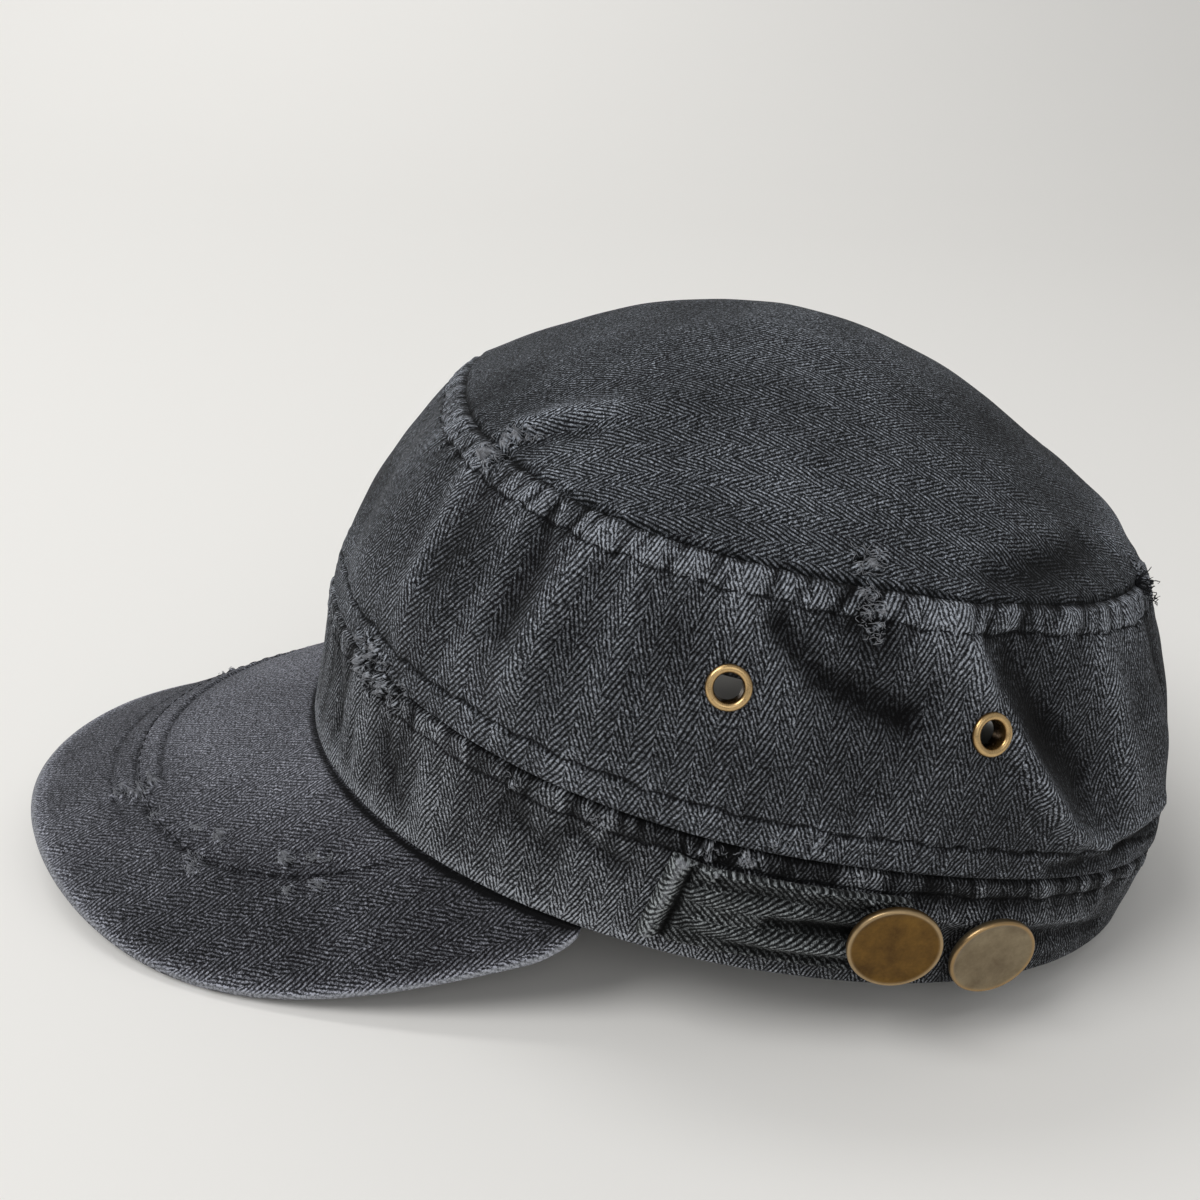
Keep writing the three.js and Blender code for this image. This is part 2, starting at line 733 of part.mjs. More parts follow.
// The origin is the middle of the base of the whole cap
const wholeBox = new THREE.Box3().setFromObject(cap, true);
const middle = wholeBox.getCenter(new THREE.Vector3());
cap.position.x -= middle.x;
cap.position.y -= middle.y;

export default cap;
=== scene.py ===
# %% [markdown]
# # An army cap in washed herringbone cotton
# A soft cap is sewn from a few flat pieces of cloth: a peak, a band, a side wall and an oval top.
# Each piece is a smooth surface with seams, puckers and folds on it. So each is made here from one
# even grid of faces, which a formula lays in place, and the fine relief is added along the surface's
# normal. The measures are those of the solid model, in millimetres, until the cloth is laid.

# %% Load the solid model
import math
import random

import bmesh
import bpy
import numpy as np
from mathutils import Matrix, Vector, noise


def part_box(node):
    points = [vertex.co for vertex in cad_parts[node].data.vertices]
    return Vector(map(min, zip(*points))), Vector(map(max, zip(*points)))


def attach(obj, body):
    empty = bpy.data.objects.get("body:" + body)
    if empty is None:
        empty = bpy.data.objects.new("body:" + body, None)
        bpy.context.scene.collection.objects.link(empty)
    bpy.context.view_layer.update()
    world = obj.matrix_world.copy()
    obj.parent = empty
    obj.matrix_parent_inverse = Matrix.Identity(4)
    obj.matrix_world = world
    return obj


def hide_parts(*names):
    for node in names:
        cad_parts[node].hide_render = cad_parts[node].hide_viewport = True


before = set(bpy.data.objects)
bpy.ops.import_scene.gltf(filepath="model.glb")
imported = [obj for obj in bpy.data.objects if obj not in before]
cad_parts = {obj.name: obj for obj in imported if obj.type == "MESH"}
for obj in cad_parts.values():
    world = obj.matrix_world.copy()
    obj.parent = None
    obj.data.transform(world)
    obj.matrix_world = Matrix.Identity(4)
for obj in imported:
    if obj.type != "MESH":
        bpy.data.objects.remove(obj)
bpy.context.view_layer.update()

MM = 0.001

# %% [markdown]
# ## Camera
# The photograph was taken from about 0.29 m, at the cap's left side and a little from the front. A
# camera that near shows strong perspective, so its distance matters as much as its direction. The
# camera is placed by its direction from the point that it looks at, then turned about its own axis.
# The Standard view transform shows near-black cloth as black, where a filmic one would lift it.

# %% Camera
AIM = Vector((-4.28, 7.74, 59.4)) * MM
CAMERA_DISTANCE = 288.7 * MM
CAMERA_AZIMUTH = math.radians(-7.21)
CAMERA_ELEVATION = math.radians(23.31)
CAMERA_ROLL = math.radians(4.14)
LENS = 36.97
PICTURE_SHIFT = (-0.0404, -0.012)

bpy.context.scene.view_settings.view_transform = "Standard"
towards_camera = Vector((
    math.cos(CAMERA_AZIMUTH) * math.cos(CAMERA_ELEVATION),
    math.sin(CAMERA_AZIMUTH) * math.cos(CAMERA_ELEVATION),
    math.sin(CAMERA_ELEVATION)))
camera = bpy.data.objects.new("camera", bpy.data.cameras.new("camera"))
bpy.context.scene.collection.objects.link(camera)
bpy.context.scene.camera = camera
camera.data.lens = LENS
camera.data.sensor_width = 36
camera.data.shift_x, camera.data.shift_y = PICTURE_SHIFT
camera.data.clip_start = 0.01
level = towards_camera.to_track_quat("Z", "Y").to_matrix().to_4x4()
roll = Matrix.Rotation(CAMERA_ROLL, 4, "Z")
camera.matrix_world = Matrix.Translation(AIM + towards_camera * CAMERA_DISTANCE) @ level @ roll
print("camera at", [round(value, 4) for value in camera.matrix_world.translation])

# %% [markdown]
# ## Materials as expressions
# A material is a graph of nodes. Written as node after node it is hard to read, so a small class
# wraps a node's output and lets Python's own operators add the Math nodes. Colours go through Mix
# nodes, because a Math node would turn them grey.

# %% Node expressions
class Value:
    """An output of a node, which + - * / and ** combine with numbers or other outputs."""

    def __init__(self, finish, socket):
        self.finish = finish
        self.socket = socket

    def math(self, operation, *others):
        sockets = dict(enumerate((self,) + others))
        return self.finish.node("ShaderNodeMath", {"operation": operation}, sockets)

    def __add__(self, other):
        return self.math("ADD", other)

    __radd__ = __add__

    def __mul__(self, other):
        return self.math("MULTIPLY", other)

    __rmul__ = __mul__

    def __sub__(self, other):
        return self.math("SUBTRACT", other)

    def __rsub__(self, other):
        return self * -1 + other

    def __truediv__(self, other):
        return self.math("DIVIDE", other)

    def __pow__(self, other):
        return self.math("POWER", other)

    def clamped(self):
        return self.finish.node(
            "ShaderNodeClamp", {}, {"Value": self, "Min": 0.0, "Max": 1.0})

    def between(self, low, high):
        """0 at low, 1 at high, with a smooth ramp between them."""
        return self.finish.node(
            "ShaderNodeMapRange", {"interpolation_type": "SMOOTHSTEP"},
            {"Value": self, "From Min": low, "From Max": high})


class Finish:
    """One material, its Principled shader and the nodes that feed it."""

    def __init__(self, name):
        self.material = bpy.data.materials.new(name)
        self.material.use_nodes = True
        self.tree = self.material.node_tree
        self.shader = self.tree.nodes["Principled BSDF"]

    def node(self, kind, settings, sockets, output=0):
        node = self.tree.nodes.new(kind)
        for name, value in settings.items():
            setattr(node, name, value)
        for name, value in sockets.items():
            if isinstance(value, Value):
                self.tree.links.new(value.socket, node.inputs[name])
            else:
                node.inputs[name].default_value = value
        return Value(self, node.outputs[output])

    def mix(self, share, first, second, blend="MIX"):
        return self.node(
            "ShaderNodeMix", {"data_type": "RGBA", "blend_type": blend},
            {0: share, 6: first, 7: second}, output=2)

    def noise(self, place, scale, detail=2.0, roughness=0.5):
        return self.node(
            "ShaderNodeTexNoise", {},
            {"Vector": place, "Scale": scale, "Detail": detail, "Roughness": roughness})

    def attribute(self, name):
        return self.node("ShaderNodeAttribute", {"attribute_name": name}, {}, output=2)

    def in_millimetres(self, place):
        return self.node(
            "ShaderNodeVectorMath", {"operation": "SCALE"}, {0: place, "Scale": 1 / MM})

    def cloth_place(self):
        """The place on the flat cloth in millimetres, from the piece's own UV map."""
        scaled = self.in_millimetres(self.node("ShaderNodeUVMap", {"uv_map": "cloth"}, {}))
        across = self.node("ShaderNodeSeparateXYZ", {}, {0: scaled}, output=0)
        along = self.node("ShaderNodeSeparateXYZ", {}, {0: scaled}, output=1)
        return scaled, across, along

    def surface(self, **sockets):
        """Feeds or sets the shader's sockets, named with _ for a space."""
        for name, value in sockets.items():
            socket = self.shader.inputs[name.replace("_", " ")]
            if isinstance(value, Value):
                self.tree.links.new(value.socket, socket)
            else:
                socket.default_value = value


def grey(red, green, blue):
    """A colour from the values that a picture editor shows, 0 to 255."""
    linear = [((value / 255 + 0.055) / 1.055) ** 2.4 if value > 10 else value / 3295
              for value in (red, green, blue)]
    return (*linear, 1.0)


# %% [markdown]
# ## Herringbone cotton
# Herringbone is a twill whose diagonal lines turn back every few millimetres, so that they make
# rows of chevrons. A zigzag across the cloth, added to the distance along it, gives exactly that:
# where the zigzag rises the lines lean one way, where it falls they lean the other. The dark yarn
# shows between pale wash-faded floats, and washing has paled the crests of the folds and puckers.
# How pale each place is comes from the mesh, as an attribute that is worked out with the relief: 0
# is plain cloth, 1 is a pale crest, more is a bare frayed place and less than 0 is darker. The pale
# crests are partly worn cloth and partly a painted highlight, and the dark values are painted shade
# in creases, seams, grooves and the pits of frayed places, besides a few darker patches of tone.
# Broken floats and uneven yarn are noises finer than the lines, without which the chevrons would
# look printed.

# %% Cloth material
TWILL_COLUMN = 3.3
TWILL_ACROSS = 0.86
TWILL_ALONG = 1.85
TWILL_DEPTH = 0.15
FRAYED = grey(150, 152, 157)


def cloth_finish(name, dark, pale, faded=0.0, lines=(TWILL_ACROSS, TWILL_ALONG), sides=0.0):
    """faded is how far the weave is blurred, by sides less at the sides; lines are its two periods."""
    finish = Finish(name)
    place, across, along = finish.cloth_place()
    faded = faded - across.math("ABSOLUTE").between(15.0, 75.0) * sides
    wear_and_painted_light = finish.attribute("wear_and_painted_light")
    drift = finish.noise(place, 0.08, detail=2.0)
    wander = finish.noise(place, 0.7, detail=2.0, roughness=0.7)
    fine = finish.noise(place, 1.4, detail=3.0, roughness=0.8)
    across = across + (drift - 0.5) * 2.2 + (wander - 0.5) * 0.7
    zigzag = across.math("PINGPONG", TWILL_COLUMN)
    column = (across / TWILL_COLUMN).math("FLOOR").math("MODULO", 2.0)
    phase = zigzag / lines[0] + along / lines[1] + column * 0.5 + (fine - 0.5) * 1.0
    line = (phase * math.tau).math("SINE").between(-0.75, 0.75)
    yarn = (finish.noise(place, 1.7, detail=3.0, roughness=0.9) * 4.6 - 1.8).clamped()
    float_height = (finish.noise(place, 0.8, detail=3.0, roughness=0.8) * 3.8 - 1.4).clamped()
    slub = finish.noise(place, 0.5, detail=4.0, roughness=0.7)
    cloud = finish.noise(place, 0.045, detail=4.0, roughness=0.6)
    woven = line * (yarn * 0.5 + float_height * 0.26 + 0.1) + yarn * 0.28
    thread = woven + (yarn * 0.4 + 0.22 - woven) * faded
    # Paleness from the mesh attribute, worn cloth plus painted light and shade, with cloudy and slubby
    # tone.
    washed_and_painted_light = wear_and_painted_light.math("MINIMUM", 1.1) * 0.62 + (cloud - 0.5) * 0.7 + (slub - 0.5) * 0.8
    tone = (thread * (washed_and_painted_light + 1.0) * 0.84 + washed_and_painted_light * 0.09).clamped() ** 2.3
    colour = finish.mix(tone, dark, pale)
    bare = (wear_and_painted_light - 1.15).between(0.0, 0.7) * (yarn * 0.6 + 0.3)
    height = line * 0.6 + yarn * 0.7 + float_height * 0.3
    bump = finish.node(
        "ShaderNodeBump", {}, {"Strength": 0.8, "Distance": TWILL_DEPTH * MM, "Height": height})
    finish.surface(
        Base_Color=finish.mix(bare, colour, FRAYED), Roughness=0.95, Normal=bump,
        Specular_IOR_Level=0.12, Sheen_Weight=0.03, Sheen_Roughness=0.5)
    return finish.material


# %% [markdown]
# ## Thread and brass
# Sewing thread is plain and dark, loose fibres are pale. Aged brass has a brown skin that handling
# has worn off its edges. Where an edge lies is an attribute of the spun pieces. Both materials read
# Object coordinates, in millimetres, so that their specks have a real size.

# %% Thread and brass materials
def thread_finish(name, colour):
    finish = Finish(name)
    place = finish.in_millimetres(finish.node("ShaderNodeTexCoord", {}, {}, output=3))
    mottle = finish.noise(place, 0.6, detail=2.0)
    shaded = finish.mix(mottle, tuple(value * 0.6 for value in colour[:3]) + (1.0,), colour)
    finish.surface(Base_Color=shaded, Roughness=0.9, Specular_IOR_Level=0.15)
    return finish.material


def brass_finish(name, skin, stain, edge, roughness):
    finish = Finish(name)
    place = finish.in_millimetres(finish.node("ShaderNodeTexCoord", {}, {}, output=3))
    cloud = finish.noise(place, 0.14, detail=4.0, roughness=0.65)
    speck = finish.noise(place, 1.6, detail=3.0, roughness=0.7)
    scratch = finish.noise(place, 0.5, detail=5.0, roughness=0.8)
    worn = finish.attribute("edge")
    face = finish.mix((cloud * 2.6 - 0.8 + speck * 0.5 - 0.25).clamped(), skin, stain)
    rubbed = (worn * (scratch * 0.9 + 0.45)).clamped()
    bump = finish.node(
        "ShaderNodeBump", {}, {"Strength": 0.25, "Distance": 0.05 * MM, "Height": speck})
    finish.surface(
        Base_Color=finish.mix(rubbed, face, edge), Metallic=0.88,
        Roughness=(scratch * 0.35 + roughness - 0.15).clamped(), Normal=bump)
    return finish.material


# %% [markdown]
# ## The cap's form
# The cap is described standing on its rim, with the angle 0 at the middle of the front and 90 at
# the wearer's left. Every seam is an oval seen from above, and every piece of cloth runs between
# two of them. The whole is then tipped back, as the solid model is, until it rests on the floor.

# %% Sizes of the form
RIM = {"half_width": 83.3, "half_length": 100.3, "power": 2.1, "egg": 0.014, "shift": 0.0}
TOP = {"half_width": 68.9, "half_length": 76.0, "power": 2.5, "egg": -0.04, "shift": -3.2}
BAND_HEIGHT = (31.4, 25.6, 16.0)
BAND_FLARE = (-0.5, -0.5, 1.8)
TOP_HEIGHT = (79.5, 75.2, 77.1)
WALL_BULGE = (4.4, 4.0, 4.2)
BAND_THICKNESS = 3.0
WALL_THICKNESS = 1.8
TOP_THICKNESS = 1.8
BAND_FOLD_DEPTH = 1.8
WALL_FOLD_DEPTH = 3.0
TOP_FOLD_DEPTH = 1.6
DOME_RISE = 32.4
DOME_POWER = 1.9
APEX_SHIFT = -4.5
RESTING_TIP = math.radians(9.2)
MEAN_RADIUS = (RIM["half_width"] + RIM["half_length"]) / 2
WALL_REACH = TOP_HEIGHT[1] - BAND_HEIGHT[1]
SEAM_GAP = 0.3
print("the rim is", 2 * RIM["half_width"], "mm wide and", 2 * RIM["half_length"], "mm long")

# Folds: from, via and to, each an angle and a share of the height, then width and rise
WALL_FOLDS = (
    ((79, 0.95), (85.5, 0.72), (94, 0.6), 0.08, -0.35),
    ((86, 0.98), (93, 0.86), (99, 0.78), 0.12, 0.3),
    ((99, 0.95), (104, 0.68), (119, 0.2), 0.1, 0.75),
    ((109, 0.86), (115, 0.62), (124, 0.42), 0.19, -1.15),
    ((136, 0.8), (140, 0.5), (142, 0.25), 0.2, 0.5),
    ((35, 0.8), (36.5, 0.5), (37, 0.25), 0.16, 0.45),
    ((45, 0.8), (43.5, 0.5), (43, 0.25), 0.14, -0.35),
    ((57, 0.92), (53, 0.68), (51, 0.42), 0.13, 0.4),
    ((0, 0.85), (8, 0.42), (12, 0.16), 0.13, -0.4),
    ((-52, 0.85), (-56, 0.55), (-58, 0.3), 0.18, 0.45),
    ((-126, 0.85), (-122, 0.55), (-118, 0.3), 0.2, -0.7),
    ((-150, 0.8), (-146, 0.5), (-148, 0.25), 0.2, 0.45),
)
BAND_FOLDS = (
    ((108, 0.7), (118, 0.69), (128, 0.66), 0.16, 0.55),
    ((106, 0.42), (118, 0.42), (127, 0.4), 0.16, -0.6),
    ((149, 0.95), (149, 0.5), (149, 0.05), 0.2, -0.7),
)
TOP_FOLDS = (
    ((28, 0.96), (38, 0.82), (54, 0.66), 0.07, 0.7),
    ((148, 0.96), (180, 0.84), (212, 0.9), 0.1, 0.9),
    ((100, 0.93), (122, 0.9), (140, 0.8), 0.12, -0.7),
)
EYELET_PLACES = ((77.0, 0.59), (103.8, 0.575), (-77.0, 0.59), (-103.8, 0.575))
EYELET_HOLD = 11.9
CREASE_HOLD = 6.5
EYELET_HOLE = 3.2

# %% [markdown]
# The solid model has the large folds too, and a few of them were moved here by some millimetres. The
# cloth adds sharper creases, each a list of places that it runs through, then its width and its
# height in millimetres. The right side isn't in the photograph, so it gets a few plain ones.

# %% Creases of the cloth
WALL_CREASES = (
    ((98.7, 0.94), (103.6, 0.69), (112.5, 0.38), (118, 0.22), (126, 0.13), 2.2, 1.35),
    ((103, 0.93), (109.5, 0.7), (121, 0.4), 5.0, -1.2),
    ((81.5, 0.82), (86, 0.68), (94, 0.585), 2.5, -1.6),
    ((77, 0.88), (81, 0.76), (84, 0.68), 3.0, 0.4),
    ((88.5, 0.93), (91, 0.8), (95.5, 0.69), 4.6, -0.8),
    ((117, 0.05), (129, 0.1), (142, 0.15), 1.8, -1.4),
    ((126, 0.13), (132, 0.18), (141, 0.25), 2.4, 0.9),
    ((108, 0.86), (113, 0.7), (118, 0.6), 1.8, 0.5),
    ((123.8, 0.88), (128, 0.6), (132, 0.35), 4.5, 0.9),
    ((142, 0.9), (147, 0.6), (150, 0.3), 3.0, -0.9),
    ((28.5, 0.89), (30.8, 0.7), (32, 0.45), 3.6, 0.9),
    ((34.8, 0.93), (36, 0.67), (35.2, 0.36), 3.4, -0.5),
    ((42.8, 0.9), (44.5, 0.6), (43.8, 0.26), 3.6, 0.65),
    ((47.5, 0.93), (48.8, 0.76), (49, 0.5), 3.2, -0.65),
    ((55.5, 0.93), (54, 0.67), (52.2, 0.31), 3.6, 0.9),
    ((62.5, 0.9), (63.2, 0.7), (63, 0.4), 3.2, 0.45),
    ((6, 0.25), (20, 0.3), (31.8, 0.33), 6.0, 0.6),
    ((-30, 0.9), (-33, 0.6), (-34, 0.3), 3.4, 0.8),
    ((-47, 0.92), (-49, 0.7), (-48, 0.4), 3.2, -0.8),
    ((-88, 0.93), (-92, 0.75), (-95, 0.66), 3.6, -0.9),
    ((-108, 0.9), (-114, 0.6), (-124, 0.25), 2.6, 1.0),
    ((-160, 0.85), (-164, 0.5), (-163, 0.2), 3.6, 0.7),
)
BAND_CREASES = (
    ((101, 0.66), (112, 0.65), (127, 0.57), 1.9, 0.8),
    ((100, 0.82), (114, 0.8), (135, 0.8), 1.5, -0.7),
    ((112, 0.4), (122, 0.36), (134, 0.28), 1.8, -0.9),
    ((35.5, 0.62), (37, 0.45), (39.5, 0.28), 1.8, -0.6),
    ((43, 0.62), (44, 0.5), (45, 0.3), 2.2, 0.5),
    ((20, 0.75), (22, 0.5), (23, 0.3), 2.4, -0.6),
    ((28, 0.7), (30, 0.45), (30, 0.2), 2.4, 0.6),
    ((56, 0.72), (58, 0.6), (61, 0.55), 1.8, -0.6),
    ((64, 0.75), (66, 0.68), (70, 0.6), 1.6, -0.8),
    ((-42, 0.8), (-45, 0.5), (-46, 0.2), 2.6, -0.7),
    ((-100, 0.55), (-112, 0.5), (-126, 0.55), 2.2, 0.7),
)
TOP_CREASES = (
    ((29, 0.945), (33, 0.86), (42, 0.78), 2.6, 0.9),
    ((34.5, 0.95), (37, 0.9), (42, 0.86), 2.2, -0.7),
    ((105, 0.95), (118, 0.915), (133, 0.885), 3.2, -0.8),
    ((101, 0.9), (111, 0.87), (127, 0.83), 3.2, 0.6),
    ((145, 0.9), (152, 0.93), (170, 0.9), 3.6, 0.8),
    ((-40, 0.93), (-60, 0.88), (-78, 0.93), 3.4, -0.6),
)
print(len(WALL_CREASES), "creases on the wall,", len(BAND_CREASES), "on the band and",
      len(TOP_CREASES), "on the top")

# %% [markdown]
# Washing wears a cap out where its cloth is thickest, so the frayed places lie along the seams. Each
# has its place on the cloth, its radius in millimetres and how far it has gone. On the peak the
# first number is the place across it, from -1 to 1, and elsewhere it is the angle. The patches are
# broad and only paler or darker. The places were read from the photograph.

# %% Frayed places
WALL_FRAYS = (
    (29.0, 0.975, 3.2, 1.3), (31.5, 0.96, 2.4, 1.0), (89.6, 0.97, 1.3, 1.1), (89.8, 0.93, 1.3, 1.0),
    (90.1, 0.885, 1.1, 0.9), (90.3, 0.84, 0.9, 0.6), (26, 0.06, 2.4, 0.9), (29, 0.07, 3.0, 1.1),
    (32.5, 0.04, 2.8, 1.0), (37, 0.03, 1.6, 0.7), (88.5, 0.09, 3.0, 0.5), (84.5, 0.06, 2.2, 0.4),
    (150, 0.97, 2.2, 0.8))
BAND_FRAYS = (
    (27, 0.95, 2.6, 0.9), (30, 0.91, 3.0, 1.0), (33, 0.93, 2.6, 1.0), (36, 0.9, 2.0, 0.7),
    (55.5, 0.9, 1.7, 0.6), (66, 0.87, 1.8, 0.6), (78, 0.93, 2.6, 0.9), (82, 0.95, 1.8, 0.7))
TOP_FRAYS = (
    (29.5, 0.98, 3.0, 1.3), (31.5, 0.955, 2.0, 1.0), (34, 0.93, 1.2, 0.5), (89.5, 0.96, 1.6, 1.0),
    (90, 0.93, 1.2, 0.7), (148, 0.985, 2.4, 0.8))
PEAK_FRAYS = (
    (0.18, 0.68, 2.2, 1.2), (0.18, 0.57, 2.0, 1.1), (0.2, 0.62, 2.2, 1.2), (0.27, 0.6, 1.0, 0.5),
    (0.34, 0.5, 1.4, 0.7), (0.385, 0.45, 1.8, 0.9), (0.4, 0.57, 1.8, 0.9), (0.42, 0.6, 1.5, 0.8),
    (0.5, 0.34, 1.9, 1.0), (0.53, 0.27, 1.5, 0.8), (0.55, 0.24, 1.2, 0.7), (0.585, 0.36, 1.6, 0.9),
    (0.56, 0.44, 1.4, 0.7), (-0.32, 0.64, 2.0, 0.8))

# Long threads that stand out at the back of the upper seam
REAR_TUFT = ((146, 0.985, 1.6, 1.0), (149.5, 0.96, 1.4, 0.8), (144, 0.99, 1.2, 0.6))

# Patches: place and share on the cloth, radius in millimetres, and how much paler they have worn
BAND_PATCHES = (
    (67, 0.42, 9, 0.5), (55, 0.3, 7, 0.35), (47, 0.45, 6, 0.3), (37.5, 0.42, 5, -0.25),
    (30, 0.5, 6, 0.3), (62, 0.72, 5, -0.35), (22, 0.5, 8, 0.2), (112, 0.2, 10, -0.3))
WALL_PATCHES = (
    (62, 0.1, 7, 0.35), (50, 0.13, 6, 0.35), (70, 0.12, 6, 0.3), (44, 0.5, 16, -0.25),
    (24, 0.6, 14, -0.2), (20, 0.95, 8, -0.7), (90, 0.3, 16, 0.25), (97, 0.8, 9, 0.2),
    (75, 0.84, 9, 0.3), (86, 0.1, 5, 0.4), (112, 0.52, 8, -0.3), (118, 0.3, 9, -0.2))
TOP_PATCHES = (
    (40, 0.8, 12, 0.1), (18, 0.88, 16, -0.4), (75, 0.85, 16, 0.15), (120, 0.88, 14, -0.3),
    (60, 0.5, 18, 0.1))
print(len(WALL_FRAYS + BAND_FRAYS + TOP_FRAYS + PEAK_FRAYS), "frayed places")

# %% [markdown]
# ## Helpers for the surfaces
# An oval is a superellipse, whose power squares it a little, with an egg shape on top. A size that
# differs at the front, the sides and the back is blended by the cosine of the angle. Seams, grooves
# and worn lines are all made with two small curves: a ridge and a smooth step.

# %% Ovals and values that change round the cap
def lerp(first, second, share):
    return first + (second - first) * share


def signed_power(value, power):
    return np.sign(value) * np.abs(value) ** power


def around(angle, sizes):
    """A size given at the front, the sides and the back."""
    front, side, back = sizes
    cosine = np.cos(angle)
    end = np.where(cosine > 0, front, back)
    return side + (end - side) * cosine * cosine


def oval(angle, form):
    x = form["half_width"] * signed_power(np.sin(angle), 2 / form["power"])
    y = form["half_length"] * signed_power(np.cos(angle), 2 / form["power"])
    return x * (1 - form["egg"] * np.cos(angle)), form["shift"] - y


def outward(angle):
    x = np.sin(angle) / RIM["half_width"]
    y = -np.cos(angle) / RIM["half_length"]
    length = np.hypot(x, y)
    return x / length, y / length


def ridge(value, centre, width):
    return np.exp(-(((value - centre) / width) ** 2))


def step(value, low, high):
    share = np.clip((value - low) / (high - low), 0, 1)
    return share * share * (3 - 2 * share)


def half_turn(angle):
    return (angle + math.pi) % math.tau - math.pi


# %% [markdown]
# A fold is a soft ridge or valley along a few straight stretches, drawn on the flat cloth. Its
# height falls off with the distance to that line. Every piece has a function that lays a place on it
# flat, in millimetres, so one function serves the folds of them all.

# %% Folds
def line_distance(x, y, start, end):
    dx, dy = end[0] - start[0], end[1] - start[1]
    share = np.clip(((x - start[0]) * dx + (y - start[1]) * dy) / (dx * dx + dy * dy), 0, 1)
    return np.hypot(x - start[0] - share * dx, y - start[1] - share * dy)


def fold_rise(folds, flat, x, y, reach=1.0):
    """Height of the folds where the cloth, laid flat by the function flat, is at x, y."""
    rise = np.zeros_like(x)
    for *marks, width, height in folds:
        points = [flat(place, share) for place, share in marks]
        distance = np.minimum.reduce([
            line_distance(x, y, start, end) for start, end in zip(points, points[1:])])
        rise += height * np.exp(-((distance / (width * reach)) ** 2))
    return rise


def length_round(*forms):
    """How far round the cap an angle lies, in millimetres along the mean of some ovals."""
    angles = np.linspace(-math.tau, math.tau, 2881)
    x, y = np.mean([oval(angles, form) for form in forms], axis=0)
    lengths = np.concatenate([[0], np.cumsum(np.hypot(np.diff(x), np.diff(y)))])
    return lambda angle: np.interp(angle, angles, lengths)


band_length = length_round(RIM)
wall_length = length_round(RIM, TOP)


def wall_flat(angle, share):
    return angle * MEAN_RADIUS, share * WALL_REACH


def band_flat(angle, share):
    return angle * MEAN_RADIUS, share * BAND_HEIGHT[1]


def top_flat(angle, share):
    return (np.sin(angle) * share * TOP["half_width"], -np.cos(angle) * share * TOP["half_length"])


def in_degrees(flat):
    return lambda degrees, share: flat(math.radians(degrees), share)


print("round the rim:", round(float(band_length(math.pi) - band_length(-math.pi)), 1), "mm")

# %% [markdown]
# The surfaces. Each is a function of a place round the cap and a share of the way across the cloth,
# and gives points in millimetres.

# %% Surfaces of the band and the wall
def band_point(angle, share):
    x, y = oval(angle, RIM)
    out_x, out_y = outward(angle)
    flat = band_flat(half_turn(angle), share)
    held = np.sqrt(np.sin(np.pi * np.clip(share, 0, 1)))
    fold = fold_rise(BAND_FOLDS, in_degrees(band_flat), *flat, BAND_HEIGHT[1])
    out = around(angle, BAND_FLARE) * share + fold * held * BAND_FOLD_DEPTH
    return np.stack([x + out_x * out, y + out_y * out, share * around(angle, BAND_HEIGHT)], 1)


def wall_point(angle, share):
    rim_x, rim_y = oval(angle, RIM)
    out_x, out_y = outward(angle)
    flare = around(angle, BAND_FLARE)
    top_x, top_y = oval(angle, TOP)
    held = np.sin(np.pi * np.clip(share, 0, 1))
    flat = wall_flat(half_turn(angle), share)
    fold = fold_rise(WALL_FOLDS, in_degrees(wall_flat), *flat, WALL_REACH)
    fold = fold * away_from_eyelets(*flat) * held ** 0.6 * WALL_FOLD_DEPTH
    out = around(angle, WALL_BULGE) * held + fold
    return np.stack([
        lerp(rim_x + out_x * flare, top_x, share) + out_x * out,
        lerp(rim_y + out_y * flare, top_y, share) + out_y * out,
        lerp(around(angle, BAND_HEIGHT), around(angle, TOP_HEIGHT), share)], 1)


def away_from_eyelets(x, y, hold=EYELET_HOLD):
    """0 at an eyelet, which holds the cloth flat, and 1 away from them all."""
    away = np.ones_like(x)
    for angle, share in EYELET_PLACES:
        middle = wall_flat(math.radians(angle), share)
        distance = np.hypot(x - middle[0], y - middle[1])
        away *= 1 - np.exp(-((distance / hold) ** 4))
    return away


# %% [markdown]
# The top rises from its oval seam to an apex, level there and steepest at the seam. The peak is
# ruled: straight lines run from the rim to its edge, whose droop grows towards the sides, and only
# at its very ends does the edge come up to the rim again.

# %% Surfaces of the top and the peak
PEAK_REACH = 60.3
PEAK_HALF_WIDTH = 87.8
PEAK_CORNER = math.radians(67.2)
PEAK_SLOPE = math.radians(27.5)
PEAK_DROOP = 50.0
PEAK_THICKNESS = 3.0
PEAK_OUTLINE_POWER = 1.92
PEAK_DROOP_POWER = 2.35
PEAK_CORNER_POWER = 6
PEAK_END_ROUND = 0.05


def top_point(angle, share):
    x, y = oval(angle, TOP)
    middle_y = TOP["shift"] + APEX_SHIFT
    mean_height = (TOP_HEIGHT[0] + 2 * TOP_HEIGHT[1] + TOP_HEIGHT[2]) / 4
    level_height = lerp(mean_height, around(angle, TOP_HEIGHT), share * share)
    flat = top_flat(angle, share)
    fold = fold_rise(TOP_FOLDS, in_degrees(top_flat), *flat, TOP["half_length"])
    held = np.sqrt(np.clip(1 - share * share, 0, 1))
    dome = DOME_RISE * (1 - share ** DOME_POWER)
    return np.stack([
        x * share, lerp(middle_y, y, share), level_height + dome + fold * held * TOP_FOLD_DEPTH], 1)


